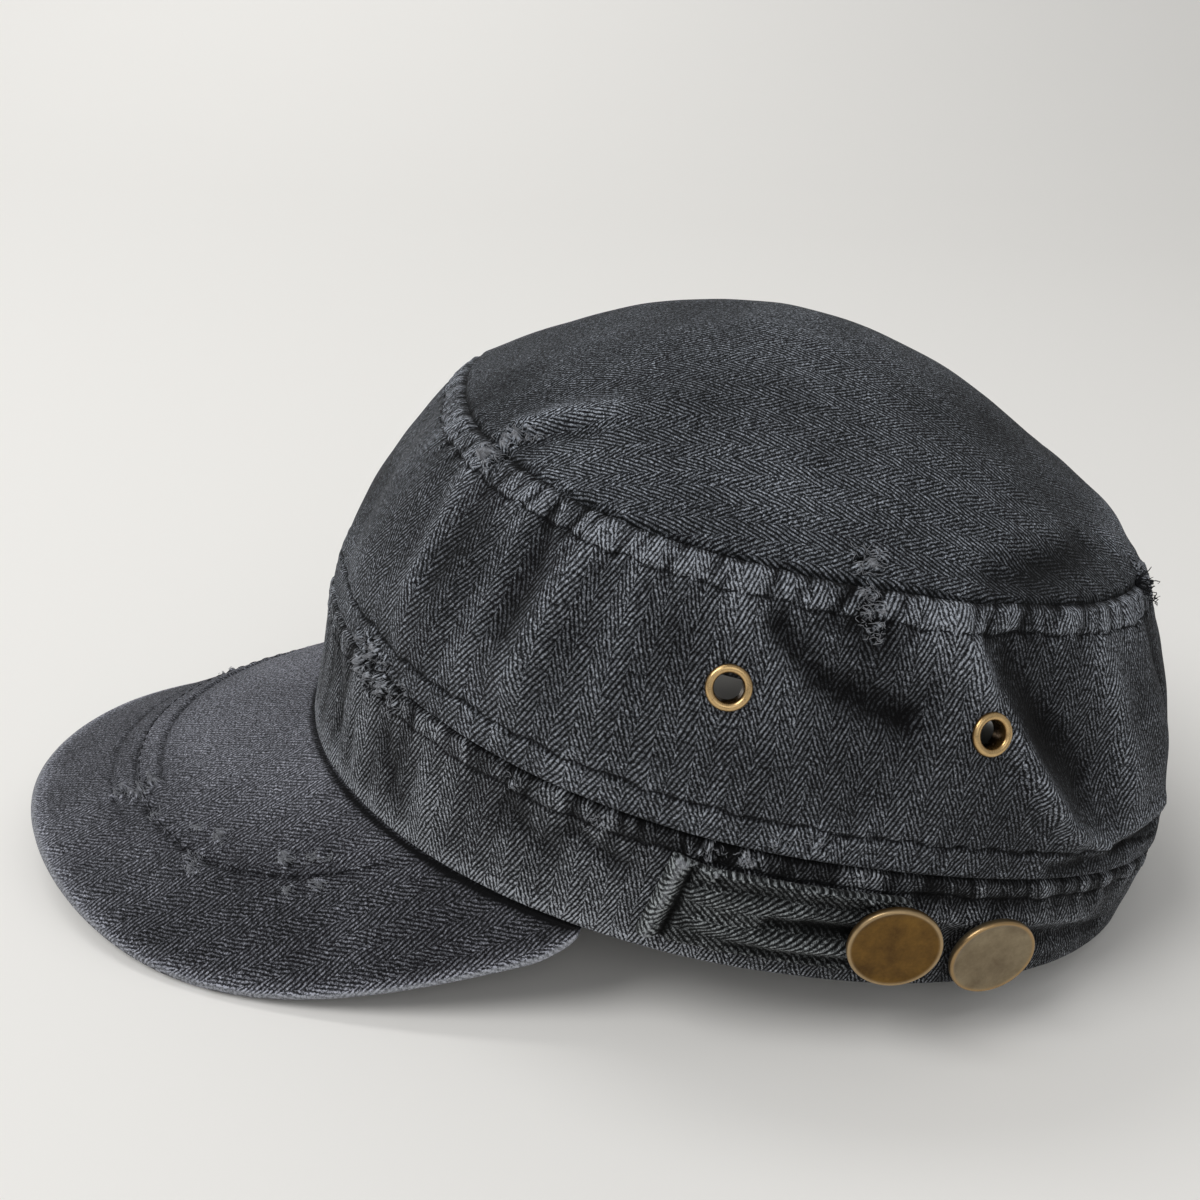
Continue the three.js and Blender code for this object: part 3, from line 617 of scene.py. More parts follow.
def peak_point(across, share):
    """across runs from -1 to 1; share from the rim, 0, to the edge, 1, and under the band below 0."""
    inner_x, inner_y = oval(across * PEAK_CORNER, RIM)
    corner_x, corner_y = oval(np.array(PEAK_CORNER), RIM)
    sweep = across * math.pi / 2
    turn = np.abs(np.sin(sweep))
    length = RIM["half_length"] + PEAK_REACH + corner_y
    width = PEAK_HALF_WIDTH * turn ** (2 / PEAK_OUTLINE_POWER)
    width = width - (PEAK_HALF_WIDTH - corner_x) * turn ** PEAK_CORNER_POWER
    outer_y = corner_y - length * np.clip(np.cos(sweep), 0, 1) ** (2 / PEAK_OUTLINE_POWER)
    fall = np.tan(PEAK_SLOPE) * (-outer_y - RIM["half_length"])
    fall = fall + PEAK_DROOP * (np.abs(width) / PEAK_HALF_WIDTH) ** PEAK_DROOP_POWER
    end = np.clip((np.abs(across) - 1 + PEAK_END_ROUND) / PEAK_END_ROUND, 0, 1)
    fall = fall * np.sqrt(1 - end * end)
    ahead = np.clip(share, 0, None)
    out_x, out_y = outward(across * PEAK_CORNER)
    ledge = np.clip(share, None, 0) * PEAK_REACH
    return np.stack([
        lerp(inner_x, np.sign(across) * width, ahead) + out_x * ledge,
        lerp(inner_y, outer_y, ahead) + out_y * ledge,
        -ahead * fall], 1)


# %% [markdown]
# Tipping the cap back is one turn about the X axis. How far it then stands above the floor, and
# where its middle lies, is read from the solid model: its top panel is the same surface, so the two
# boxes give the shift.

# %% From the rim to the cap at rest
def tipped(points):
    sine, cosine = math.sin(RESTING_TIP), math.cos(RESTING_TIP)
    x, y, z = points.T
    return np.stack([x, y * cosine + z * sine, z * cosine - y * sine], 1)


sample_angles, sample_shares = np.meshgrid(np.linspace(0, math.tau, 181), np.linspace(0, 1, 21))
sample_top = tipped(top_point(sample_angles.ravel(), sample_shares.ravel()))
solid_low, solid_high = (np.array(corner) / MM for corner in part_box("crown_top"))
REST_SHIFT = np.array([
    (solid_low[0] + solid_high[0] - sample_top[:, 0].min() - sample_top[:, 0].max()) / 2,
    (solid_low[1] + solid_high[1] - sample_top[:, 1].min() - sample_top[:, 1].max()) / 2,
    solid_high[2] - sample_top[:, 2].max()])
print("the rim's middle stands at", REST_SHIFT.round(2), "mm")


def at_rest(points):
    """Metres in the solid model's frame, with cloth that would go through the floor pressed flat."""
    placed = tipped(points) + REST_SHIFT
    placed[:, 2] = np.maximum(placed[:, 2], 0)
    return placed * MM


# %% [markdown]
# ## A sheet of cloth from one grid
# The grid runs round the cap in its columns. Its rows go up the outer face, over the edge, down the
# inner face and back to the start, so that one grid closes into a shell with a real thickness. The
# fine relief belongs to the outer face alone and fades out through the thickness. The UV map holds
# the place on the flat cloth, in metres, which is what the weave is drawn on. Where the grid's edges
# meet they are merged, and holes and free ends are closed, so the sheet is a solid shell.

# %% Grids of cloth
MERGED = 0.002 * MM


def normals_of(surface, across, share, across_step, share_step):
    along = surface(across + across_step, share) - surface(across - across_step, share)
    up = surface(across, share + share_step) - surface(across, share - share_step)
    normal = np.cross(along, up)
    return normal / np.maximum(np.linalg.norm(normal, axis=1), 1e-9)[:, None]


def section(outer, inner, thickness, edge):
    """Rows round a sheet: up its outer shares, over a round edge, down its inner shares."""
    low, high = outer[0], outer[-1]
    turn_in = ((0.29, 0.15), (0.0, 0.5), (0.29, 0.85))
    rows = [(share, 0.0) for share in outer]
    rows += [(high + edge * (1 - back), thickness * deep) for back, deep in turn_in]
    rows += [(share, thickness) for share in inner]
    rows += [(low - edge * (1 - back), thickness * deep) for back, deep in reversed(turn_in)]
    return rows + rows[:1]


def dense_shares(marks):
    """Shares that run through (share, steps up to the next) marks."""
    shares = []
    for (start, steps), (end, _) in zip(marks, marks[1:]):
        shares += list(np.linspace(start, end, steps, endpoint=False))
    return shares + [marks[-1][0]]


def mesh_object(name, mesh, material):
    piece = bpy.data.objects.new(name, mesh)
    bpy.context.scene.collection.objects.link(piece)
    mesh.materials.append(material)
    mesh.polygons.foreach_set("use_smooth", [True] * len(mesh.polygons))
    print(f"{name}: {sum(len(face.vertices) - 2 for face in mesh.polygons)} triangles")
    return piece


def close_shell(mesh, pierced):
    """Merges the grid's edges that meet, cuts the holes and closes their rims and free ends."""
    closed = bmesh.new()
    closed.from_mesh(mesh)
    bmesh.ops.remove_doubles(closed, verts=closed.verts, dist=MERGED)
    for middle, axis, radius in pierced:
        holed = [face for face in closed.faces
                 if (face.calc_center_median() - middle).length < 3 * radius
                 and axis.cross(face.calc_center_median() - middle).length < radius]
        bmesh.ops.delete(closed, geom=holed, context="FACES")
        rims = [edge for edge in closed.edges
                if edge.is_boundary and (edge.verts[0].co - middle).length < 3 * radius]
        bmesh.ops.bridge_loops(closed, edges=rims)
    ends = [edge for edge in closed.edges if edge.is_boundary]
    bmesh.ops.holes_fill(closed, edges=ends, sides=0)
    bmesh.ops.recalc_face_normals(closed, faces=closed.faces)
    closed.to_mesh(mesh)
    closed.free()


def cloth_piece(name, columns, rows, lay, spread, material, pierced=()):
    """lay gives points, flat places in millimetres, and paleness: worn cloth and painted light and
    shade.
    """
    shaped = bmesh.new()
    bmesh.ops.create_grid(shaped, x_segments=columns, y_segments=len(rows) - 1, size=0.5)
    mesh = bpy.data.meshes.new(name)
    shaped.to_mesh(mesh)
    shaped.free()
    corners = np.empty(len(mesh.vertices) * 3)
    mesh.vertices.foreach_get("co", corners)
    corners = corners.reshape(-1, 3) + 0.5
    row = np.rint(corners[:, 1] * (len(rows) - 1)).astype(int)
    share, depth = np.array(rows)[row].T
    points, flat, wear_and_painted_light = lay(spread(corners[:, 0]), share, depth)
    mesh.vertices.foreach_set("co", at_rest(points).ravel())
    mesh.attributes.new("wear_and_painted_light", "FLOAT", "POINT").data.foreach_set("value", wear_and_painted_light)
    loop_vertex = np.empty(len(mesh.loops), int)
    mesh.loops.foreach_get("vertex_index", loop_vertex)
    uv = mesh.uv_layers.new(name="cloth")
    uv.data.foreach_set("uv", (flat[loop_vertex] * MM).ravel())
    close_shell(mesh, pierced)
    return mesh_object(name, mesh, material)


# %% [markdown]
# The photograph shows the left side, so the columns stand closer together there.

# %% Round the cap
NEAR_SIDE = math.radians(75)
CROWDING = 0.33


def round_the_cap(across):
    turn = (across * 2 - 1) * math.pi
    return turn - CROWDING * np.sin(turn - NEAR_SIDE)


turns = np.degrees(np.diff(round_the_cap(np.linspace(0, 1, 961))))
print("columns stand", turns.min().round(2), "to", turns.max().round(2), "degrees apart")


# %% [markdown]
# ## Relief that all the pieces share
# Cotton shrinks in the wash and its sewing thread doesn't, so the cloth stands up in small pillows
# between the stitches, with sharp creases between them. The pillows are uneven, so their places are
# drawn once from a seeded list. A frayed place is a mound of small knots of fluff with pits between
# them: the distance to scattered seeds gives the knots, which are painted pale, and the pits get
# painted shade. Each function gives a relief in millimetres and the paleness that belongs to it,
# which is partly worn cloth and partly painted light and shade.

# %% Pillows, lumps and frays
def roughness(points, scale, seed=0.0):
    """Smooth noise between -1 and 1 at points in millimetres."""
    shift = Vector((seed, 2.3 * seed, 5.1 * seed))
    return np.array([noise.noise(Vector(point) * scale + shift) for point in points])


def nearest_cell(points, scale):
    """Distance to the nearest of scattered seeds, about 0 to 0.7, at points in millimetres."""
    return np.array([noise.voronoi(Vector(point) * scale)[0][0] for point in points])


def gathers(count, seed):
    """Uneven places of the creases round the cap, and the height of each pillow between them."""
    chance = random.Random(seed)
    steps = np.array([chance.uniform(0.45, 1.55) for _ in range(count)])
    marks = np.concatenate([[0], np.cumsum(steps)]) / steps.sum() * math.tau - math.pi
    heights = np.array([chance.uniform(0.2, 1.0) for _ in range(count)])
    return marks, heights


def pillows(angle, gathering):
    """0 in a crease, up to 1 on a crest."""
    marks, heights = gathering
    turn = half_turn(angle)
    order = np.clip(np.searchsorted(marks, turn, side="right") - 1, 0, len(heights) - 1)
    share = (turn - marks[order]) / (marks[order + 1] - marks[order])
    return np.sin(np.pi * np.clip(share, 0, 1)) ** 0.65 * heights[order]


def frayed(places, flat, x, y, points, seed):
    """Relief in millimetres of the frayed places, and their paleness with painted shade in the pits.
    """
    mound = np.zeros_like(x)
    for along, share, radius, gone in places:
        middle = flat(along, share)
        distance = np.hypot(x - middle[0], y - middle[1])
        mound = np.maximum(mound, gone * np.exp(-((distance / radius) ** 2)))
    near = mound > 0.02
    lumps = np.zeros_like(x)
    knots = 1 - 4.2 * nearest_cell(points[near], 0.55) ** 2
    lumps[near] = np.maximum(knots, -0.7) + 0.4 * roughness(points[near], 1.3, seed)
    relief = mound * (1.6 * lumps + 0.4)
    # Knots of fluff are pale; the pits between them are painted darker as shade.
    wear_and_painted_light = mound * (2.2 * lumps + 0.9)
    return relief, wear_and_painted_light


def patches(places, flat, x, y):
    """Wear of the patches where the cloth, laid flat, is at x, y."""
    wear_and_painted_light = np.zeros_like(x)
    for along, share, radius, paler in places:
        middle = flat(along, share)
        wear_and_painted_light += paler * np.exp(-(np.hypot(x - middle[0], y - middle[1]) / radius) ** 2)
    return wear_and_painted_light


def waver(angle):
    """How far a hand-guided line of stitches strays, in millimetres."""
    return 0.22 * np.sin(angle * 37) + 0.2 * np.sin(angle * 71 + 1) + 0.12 * np.sin(angle * 113 + 2)


# %% [markdown]
# ## Side wall
# The wall's upper edge is folded back and topstitched, which leaves a raised strip that puckers
# every few millimetres. A like strip lies above the band. Distances from both seams are real
# millimetres, so no strip widens where the wall grows taller towards the back.

# %% Side wall
STRIP_WIDTH = 4.9
WALL_STITCH_LOW = (7.2, 6.6, 4.6)
TOP_GATHERS = gathers(88, 5)
RIM_GATHERS = gathers(104, 8)
FINE_GATHERS = gathers(250, 6)


def wall_height(angle):
    return around(angle, TOP_HEIGHT) - around(angle, BAND_HEIGHT)


def wall_relief(angle, share):
    height = wall_height(angle)
    from_top = (1 - share) * height
    from_seam = share * height
    pillow = pillows(angle + 0.006 * from_top, TOP_GATHERS)
    pucker = pillows(angle - 0.004 * from_top, FINE_GATHERS) - 0.4
    strip = step(from_top, STRIP_WIDTH + 0.5, STRIP_WIDTH - 0.3)
    groove = ridge(from_top + waver(angle), STRIP_WIDTH + 0.25, 0.36)
    below = (1 - strip) * np.exp(-np.clip(from_top - STRIP_WIDTH, 0, None) / 3.6)
    narrowing = 0.75 + 0.25 * np.clip(from_top / STRIP_WIDTH, 0, 1)
    relief = strip * (0.15 + 0.8 * pillow * narrowing + 0.22 * pucker) - 0.42 * groove
    relief += below * (0.75 * pillow + 0.25 * pucker) - 1.1 * ridge(from_top, 0, 0.8)
    # Pillow crests are painted pale and creases dark: worn cloth plus painted light and shade.
    wear_and_painted_light = strip * (2.5 * pillow * narrowing + 1.2 * pucker - 0.35) - 0.7 * groove
    # Below the strip too; the groove and the seam at the top get painted shade.
    wear_and_painted_light += below * (1.0 * pillow + 0.7 * pucker - 0.35) - 1.1 * ridge(from_top, 0, 0.7)
    line = around(angle, WALL_STITCH_LOW)
    low_pillow = pillows(angle, RIM_GATHERS)
    low_strip = step(from_seam, line + 0.5, line - 0.4)
    low_groove = ridge(from_seam + waver(angle + 1), line + 0.2, 0.42)
    near_low = np.exp(-np.abs(from_seam - line) / 2.6)
    relief += 0.25 * low_strip - 0.5 * low_groove - 0.8 * ridge(from_seam, 0, 0.65)
    relief += 0.45 * low_pillow * near_low
    # By the low seam the crests are painted pale; the groove and the seam get painted shade.
    wear_and_painted_light += 0.75 * (low_pillow - 0.4) * near_low - 0.9 * low_groove
    wear_and_painted_light += 0.12 * low_strip - 0.7 * ridge(from_seam, 0, 0.55)
    return relief, wear_and_painted_light


def wall_lay(angle, share, depth):
    base = wall_point(angle, share)
    normal = normals_of(wall_point, angle, share, 0.01, 0.004)
    relief, wear_and_painted_light = wall_relief(angle, share)
    flat = np.stack([wall_length(angle), share * WALL_REACH], 1)
    place = wall_flat(half_turn(angle), share)
    held = np.sin(np.pi * np.clip(share, 0, 1)) ** 0.5
    soft = roughness(base, 0.045, 2.0) * 0.8 + roughness(base, 0.12, 9.0) * 0.32
    flat_at = in_degrees(wall_flat)
    crease = fold_rise(WALL_CREASES, flat_at, *place)
    mound, bare = frayed(WALL_FRAYS, flat_at, *place, base, 51.0)
    broad = (soft + 1.45 * crease * away_from_eyelets(*place, CREASE_HOLD)) * held
    relief = relief + mound
    # Bumps and crease ridges are painted pale and valleys dark, as light and shade of the folds.
    wear_and_painted_light = wear_and_painted_light + 0.45 * soft + 0.6 * crease + patches(WALL_PATCHES, flat_at, *place)
    wear_and_painted_light = np.minimum(wear_and_painted_light, 1.1) + bare
    shown = 1 - depth / WALL_THICKNESS
    return base + normal * (broad + relief * shown - depth)[:, None], flat, wear_and_painted_light * shown


# %% [markdown]
# ## Band
# The band is a folded strip, so both its edges are round. Its upper seam is topstitched too, and the
# cloth below puckers in long soft streaks, most of all at the front.

# %% Band
BAND_STITCH = (4.9, 3.8, 3.0)
BAND_STREAKS = gathers(58, 21)
BAND_GATHERS = gathers(96, 23)


def band_relief(angle, share):
    height = around(angle, BAND_HEIGHT)
    from_top = (1 - share) * height
    pillow = pillows(angle, BAND_GATHERS)
    streak = pillows(angle + 0.002 * from_top, BAND_STREAKS) - 0.4
    line = around(angle, BAND_STITCH)
    strip = step(from_top, line + 0.5, line - 0.4)
    groove = ridge(from_top + waver(angle + 2), line + 0.2, 0.42)
    below = (1 - strip) * np.exp(-np.clip(from_top - line, 0, None) / 5.0)
    front = step(np.cos(angle), 0.1, 0.8)
    middle = np.sin(np.pi * np.clip(share, 0, 1))
    pucker = pillows(angle - 0.004 * from_top, FINE_GATHERS) - 0.4
    relief = strip * (0.05 + 0.75 * pillow + 0.2 * pucker) - 0.4 * groove + below * 0.7 * pillow
    relief += 0.6 * streak * (0.3 + 0.7 * front) * middle - 0.8 * ridge(from_top, 0, 0.65)
    # Crests are painted pale and hollows dark: worn cloth plus painted light and shade.
    wear_and_painted_light = strip * (1.9 * pillow + 1.1 * pucker - 0.85) + below * (1.1 * pillow + 0.5 * pucker - 0.42)
    # The groove under the stitching gets painted shade.
    wear_and_painted_light -= 0.85 * groove
    # Streaks are painted pale and dark as light and shade of the puckers; the upper seam gets painted
    # shade.
    wear_and_painted_light += 0.75 * streak * (0.3 + 0.7 * front) - 0.7 * ridge(from_top, 0, 0.55)
    fore = step(np.cos(angle), -0.2, 0.5)
    wear_and_painted_light += 0.3 * ridge(share, 0, 0.05) + 0.08 * ridge(share, 0.3, 0.25) * fore
    wear_and_painted_light += 1.1 * ridge(share, 0.04, 0.11) * fore
    return relief, wear_and_painted_light


def band_lay(angle, share, depth):
    base = band_point(angle, share)
    normal = normals_of(band_point, angle, share, 0.01, 0.004)
    relief, wear_and_painted_light = band_relief(angle, share)
    place = band_flat(half_turn(angle), share)
    held = np.sin(np.pi * np.clip(share, 0, 1)) ** 0.5
    soft = roughness(base, 0.05, 12.0) * 0.5 + roughness(base, 0.15, 19.0) * 0.3
    flat_at = in_degrees(band_flat)
    crease = fold_rise(BAND_CREASES, flat_at, *place)
    mound, bare = frayed(BAND_FRAYS, flat_at, *place, base, 53.0)
    broad = (soft + 1.2 * crease) * held
    relief = relief + mound
    # Bumps and crease ridges are painted pale and valleys dark, as light and shade of the folds.
    wear_and_painted_light = wear_and_painted_light + 0.45 * soft + 0.65 * crease + patches(BAND_PATCHES, flat_at, *place)
    wear_and_painted_light = np.minimum(wear_and_painted_light, 1.1) + bare
    shown = 1 - depth / BAND_THICKNESS
    flat = np.stack([band_length(angle), share * around(angle, BAND_HEIGHT)], 1)
    return base + normal * (broad + relief * shown - depth)[:, None], flat, wear_and_painted_light * shown


# %% [markdown]
# ## Top
# The oval top is one piece, eased into the wall so that it domes. The grid runs from the seam to
# the apex, where its columns meet in one point.

# %% Top
def radial_length(share):
    """Length over the dome, as a factor on the length seen from above."""
    steps = np.linspace(0, 1, 201)
    slope = DOME_RISE * DOME_POWER * steps ** (DOME_POWER - 1) / TOP["half_width"]
    length = np.concatenate([[0], np.cumsum(np.sqrt(1 + slope[1:] ** 2)) / 200])
    return np.interp(share, steps, length) / np.maximum(share, 1e-6)


def top_lay(angle, share, depth):
    base = top_point(angle, np.clip(share, 0, None))
    normal = normals_of(top_point, angle, np.clip(share, 0.01, None), 0.01, -0.004)
    normal[:, :] = np.where((share < 0.01)[:, None], (0, 0, 1), normal)
    from_seam = (1 - share) * 0.625 * (TOP["half_width"] + TOP["half_length"])
    near = np.exp(-from_seam / 3.4)
    pillow = pillows(angle, TOP_GATHERS)
    place = top_flat(angle, share)
    soft = roughness(base, 0.035, 22.0) * 0.7 + roughness(base, 0.1, 29.0) * 0.25
    flat_at = in_degrees(top_flat)
    crease = fold_rise(TOP_CREASES, flat_at, *place)
    mound, bare = frayed(TOP_FRAYS, flat_at, *place, base, 55.0)
    relief = 0.55 * pillow * near - 1.1 * ridge(from_seam, 0, 0.9) + mound
    broad = (soft + crease) * np.clip(from_seam / 8, 0, 1)
    # Pillows by the seam are painted pale on top, and the seam itself dark as painted shade.
    wear_and_painted_light = 0.8 * (pillow - 0.38) * near - 0.8 * ridge(from_seam, 0, 0.7)
    # Bumps and crease ridges are painted pale and valleys dark, as light and shade of the folds.
    wear_and_painted_light += 0.4 * soft + 0.6 * crease + patches(TOP_PATCHES, flat_at, *place)
    wear_and_painted_light = np.minimum(wear_and_painted_light, 1.1) + bare
    shown = 1 - depth / TOP_THICKNESS
    stretch = radial_length(share)
    flat = np.stack([base[:, 0] * stretch, (base[:, 1] - TOP["shift"] - APEX_SHIFT) * stretch], 1)
    return base + normal * (broad + relief * shown - depth)[:, None], flat, wear_and_painted_light * shown


# %% [markdown]
# ## Peak
# The peak is a stiff curved board in a cloth cover. A seam crosses it in an arc, with a raised welt
# beside it, and its edge is a rolled fold that has worn pale. The peak droops steeply at its sides,
# so its cloth is unrolled line by line, from the middle outwards, with the real length of each line.

# %% Peak laid flat
ARC_SHARE = 0.629
ARC_HALF = 0.666
ARC_POWER = 4.187
ARC_SHAPE = 1 / 1.126
PEAK_END = 0.998
RULINGS = np.linspace(0, PEAK_END, 121)


def across_the_peak(across):
    return (across * 2 - 1) * PEAK_END


def third_corner(first, second, from_first, from_second):
    """The corner of a flat triangle, on the right of the line from first to second."""
    base = second - first
    length = np.linalg.norm(base)
    ahead = (from_first ** 2 - from_second ** 2 + length ** 2) / (2 * length)
    aside = math.sqrt(max(from_first ** 2 - ahead ** 2, 0))
    return first + base / length * ahead + np.array([base[1], -base[0]]) / length * aside


def unrolled():
    """Flat places of the peak's rim and of its edge, for half the peak."""
    rim = peak_point(RULINGS, 0 * RULINGS)
    edge = peak_point(RULINGS, 0 * RULINGS + 1)
    distance = np.linalg.norm
    flat_rim = [np.zeros(2)]
    flat_edge = [np.array([0, distance(edge[0] - rim[0])])]
    for here in range(len(RULINGS) - 1):
        there = here + 1
        flat_edge.append(third_corner(
            flat_rim[here], flat_edge[here],
            distance(edge[there] - rim[here]), distance(edge[there] - edge[here])))
        flat_rim.append(third_corner(
            flat_rim[here], flat_edge[there],
            distance(rim[there] - rim[here]), distance(edge[there] - rim[there])))
    return np.array(flat_rim), np.array(flat_edge)


FLAT_RIM, FLAT_EDGE = unrolled()


def peak_flat(across, share):
    side = np.abs(across)
    rim = [np.interp(side, RULINGS, FLAT_RIM[:, axis]) for axis in (0, 1)]
    edge = [np.interp(side, RULINGS, FLAT_EDGE[:, axis]) for axis in (0, 1)]
    return np.sign(across) * lerp(rim[0], edge[0], share), lerp(rim[1], edge[1], share)


print("the peak's edge, laid flat, ends at", FLAT_EDGE[-1].round(1), "mm")


# %% [markdown]
# The arc is a flattened superellipse of places and shares. The welt and the stitched lines are
# measured from it in millimetres, and the worn edge from the edge itself.

# %% Peak
WELT_WIDTH = 5.5
OUTER_LINE = 5.0


def arc_share(across):
    inside = np.clip(1 - np.abs(across / ARC_HALF) ** ARC_POWER, 0, 1)
    return ARC_SHARE * inside ** ARC_SHAPE


def peak_relief(across, share):
    beyond = (share - arc_share(across)) * PEAK_REACH
    ruling = np.interp(np.abs(across), RULINGS, np.linalg.norm(FLAT_EDGE - FLAT_RIM, axis=1))
    on_peak = step(share, 0.03, 0.12) * step(np.abs(across), ARC_HALF * 1.02, ARC_HALF * 0.97)
    welt_end = step(across, 0.24, 0.16)
    welt = step(beyond, 0.1 - WELT_WIDTH, 1.1 - WELT_WIDTH) * step(beyond, -0.2, -1.0) * welt_end
    seam = on_peak * ridge(beyond, 0, 0.55)
    inner_line = on_peak * ridge(beyond, -WELT_WIDTH, 0.55) * welt_end
    outer_line = on_peak * ridge(beyond, OUTER_LINE, 0.6) * step(across, 0.3, 0.2)
    bumpy = on_peak * ridge(beyond, -1.2, 1.3) * np.sin(across * 190 + 3 * np.sin(across * 37))
    bumpy *= step(across, 0.12, 0.24)
    edge = (1 - share) * ruling
    relief = 0.5 * on_peak * welt - 0.5 * seam - 0.5 * inner_line - 0.4 * outer_line + 0.3 * bumpy
    relief += 0.3 * ridge(edge, 0.5, 1.0) - 0.14 * ridge(edge, 2.0, 0.5)
    relief -= 0.5 * ridge(share * ruling, 0.2, 0.8)
    # The seam and stitched lines are painted dark as shade in their grooves; welt and bumps paler.
    wear_and_painted_light = 0.15 * on_peak * welt - 0.4 * seam - 0.45 * inner_line - 0.35 * outer_line + 0.3 * bumpy
    # A painted shadow line where the band's lower edge lies over the peak.
    wear_and_painted_light -= 1.5 * ridge(share * ruling, 0.2, 0.75)
    near_side = step(across, 0.45, 0.9)
    # The rolled edge is worn pale, with painted shade in the groove behind it.
    wear_and_painted_light += 0.9 * ridge(edge, 0.2, 1.3) - 0.15 * ridge(edge, 2.4, 0.5)
    wear_and_painted_light += (1.0 + 0.5 * near_side) * ridge(edge, 0.5, 3.0)
    # Paler inside the arc and towards the middle and far side than on the near side.
    wear_and_painted_light += 0.35 * step(beyond, 3, -14) + 0.45 * step(across, 0.6, 0.1) - 0.1
    return relief, wear_and_painted_light


def peak_lay(across, share, depth):
    base = peak_point(across, share)
    normal = normals_of(peak_point, across, np.maximum(share, 0.02), 0.004, 0.004)
    normal *= np.where(normal[:, 2] < 0, -1, 1)[:, None]
    relief, wear_and_painted_light = peak_relief(across, share)
    place = peak_flat(across, share)
    soft = roughness(base, 0.03, 32.0) * 0.6 + roughness(base, 0.09, 39.0) * 0.18
    mound, bare = frayed(PEAK_FRAYS, peak_flat, *place, base, 57.0)
    open_cloth = np.clip(share * 6, 0, 1) * step(share, 1.0, 0.9)
    relief = relief + soft * open_cloth + mound
    wear_and_painted_light = wear_and_painted_light + 0.25 * soft + bare
    shown = 1 - depth / PEAK_THICKNESS
    points = base + normal * (relief * shown - depth)[:, None]
    points[:, 2] -= SEAM_GAP
    return points, np.stack(place, 1), wear_and_painted_light * shown


# %% [markdown]
# ## Tab
# The tab is a doubled strip on the left of the band. Its sewn end is rolled forward, its upper edge
# has worn pale, and folds run along it to the button that holds it. Places on it are millimetres
# walked from the sewn end.

# %% Tab
TAB_START = 74.5
TAB_LENGTH = 47.5
TAB_HEIGHT = 16.6
TAB_THICKNESS = 2.4
TAB_CORNER = 5.0
TAB_SEAT = 13.3
TAB_FLARE = 1.4
TAB_FLARE_LENGTH = 4.0
TAB_LEAN = 3.0
TAB_END_ROUND = 1.2
TAB_FOLDS = (
    ((21, 0.5), (27, 0.5), (38, 0.48), 1.7, -1.35),
    ((9, 0.36), (20, 0.26), (38, 0.27), 1.5, 0.65),
    ((16, 0.1), (26, 0.09), (38, 0.12), 1.2, -0.8),
    ((5, 0.84), (18, 0.83), (38, 0.82), 1.0, -0.55),
    ((6, 0.72), (16, 0.62), (24, 0.58), 2.4, 0.4),
    ((24, 0.7), (30, 0.68), (38, 0.68), 1.6, 0.35),
)
TAB_FRAYS = ((5.0, 1.0, 2.0, 0.8), (8.5, 0.97, 1.5, 0.7), (38, 0.93, 1.3, 0.7))


def tab_flat(walked, share):
    return walked, share * TAB_HEIGHT


def tab_base(walked, share):
    fine = np.radians(np.arange(TAB_START - 5, TAB_START + 60, 0.25))
    middle = band_point(fine, 0 * fine + 0.5)[:, :2]
    lengths = np.concatenate([[0], np.cumsum(np.linalg.norm(np.diff(middle, axis=0), axis=1))])
    start = np.interp(math.radians(TAB_START), fine, lengths)
    lean = TAB_LEAN * (1 - share) * np.clip(1 - walked / TAB_LENGTH, 0, 1)
    angle = np.interp(start + walked - lean, lengths, fine)
    from_end = np.clip(TAB_LENGTH - walked, 0, TAB_CORNER)
    rounding = TAB_CORNER - np.sqrt(TAB_CORNER ** 2 - (TAB_CORNER - from_end) ** 2)
    flare = TAB_FLARE * np.exp(-((walked / TAB_FLARE_LENGTH) ** 2))
    low = TAB_SEAT - TAB_HEIGHT / 2 + rounding
    high = TAB_SEAT + TAB_HEIGHT / 2 - rounding + flare
    height = lerp(low, high, share)
    points = band_point(angle, height / around(angle, BAND_HEIGHT))
    out_x, out_y = outward(angle)
    lift = SEAM_GAP + TAB_THICKNESS
    return points + np.stack([out_x * lift, out_y * lift, 0 * out_x], 1), angle


def tab_lay(walked, share, depth):
    base, angle = tab_base(walked, share)
    normal = np.stack([*outward(angle), 0 * angle], 1)
    place = tab_flat(walked, share)
    from_low, from_high = place[1], TAB_HEIGHT - place[1]
    roll = ridge(walked, 1.8, 1.5)
    recess = ridge(walked, 4.2, 0.7)
    folds = fold_rise(TAB_FOLDS, tab_flat, *place)
    soft = roughness(base, 0.16, 61.0) * 0.35
    hem = ridge(from_high, 0.2, 0.5) + ridge(from_low, 0.3, 0.5) * 0.5
    relief = 1.4 * roll - 1.0 * recess + 1.35 * folds + soft
    relief += 0.2 * hem - 0.3 * ridge(from_high, 1.3, 0.4)
    mound, bare = frayed(TAB_FRAYS, tab_flat, *place, base, 63.0)
    worn_hem = lerp(0.9, 0.35, step(walked, 8, 30)) * hem
    # Painted highlight on the roll, painted shade in the recess, painted light and shade on the folds.
    wear_and_painted_light = 1.5 * roll - 1.3 * recess + 0.75 * folds + 0.5 * soft + worn_hem + bare
    end_share = np.clip(np.minimum(walked, TAB_LENGTH - walked) / TAB_END_ROUND, 0, 1)
    round_end = np.sqrt(np.clip(1 - (1 - end_share) ** 2, 0, 1))
    shown = 1 - depth / TAB_THICKNESS
    inset = TAB_THICKNESS / 2 + (depth - TAB_THICKNESS / 2) * round_end
    points = base + normal * ((relief + mound) * shown * round_end - inset)[:, None]
    return points, np.stack([from_low, walked], 1), wear_and_painted_light * shown


# %% [markdown]
# ## The cloth pieces in place
# Each eyelet stands in a real hole, found from the solid eyelet's middle and axis.

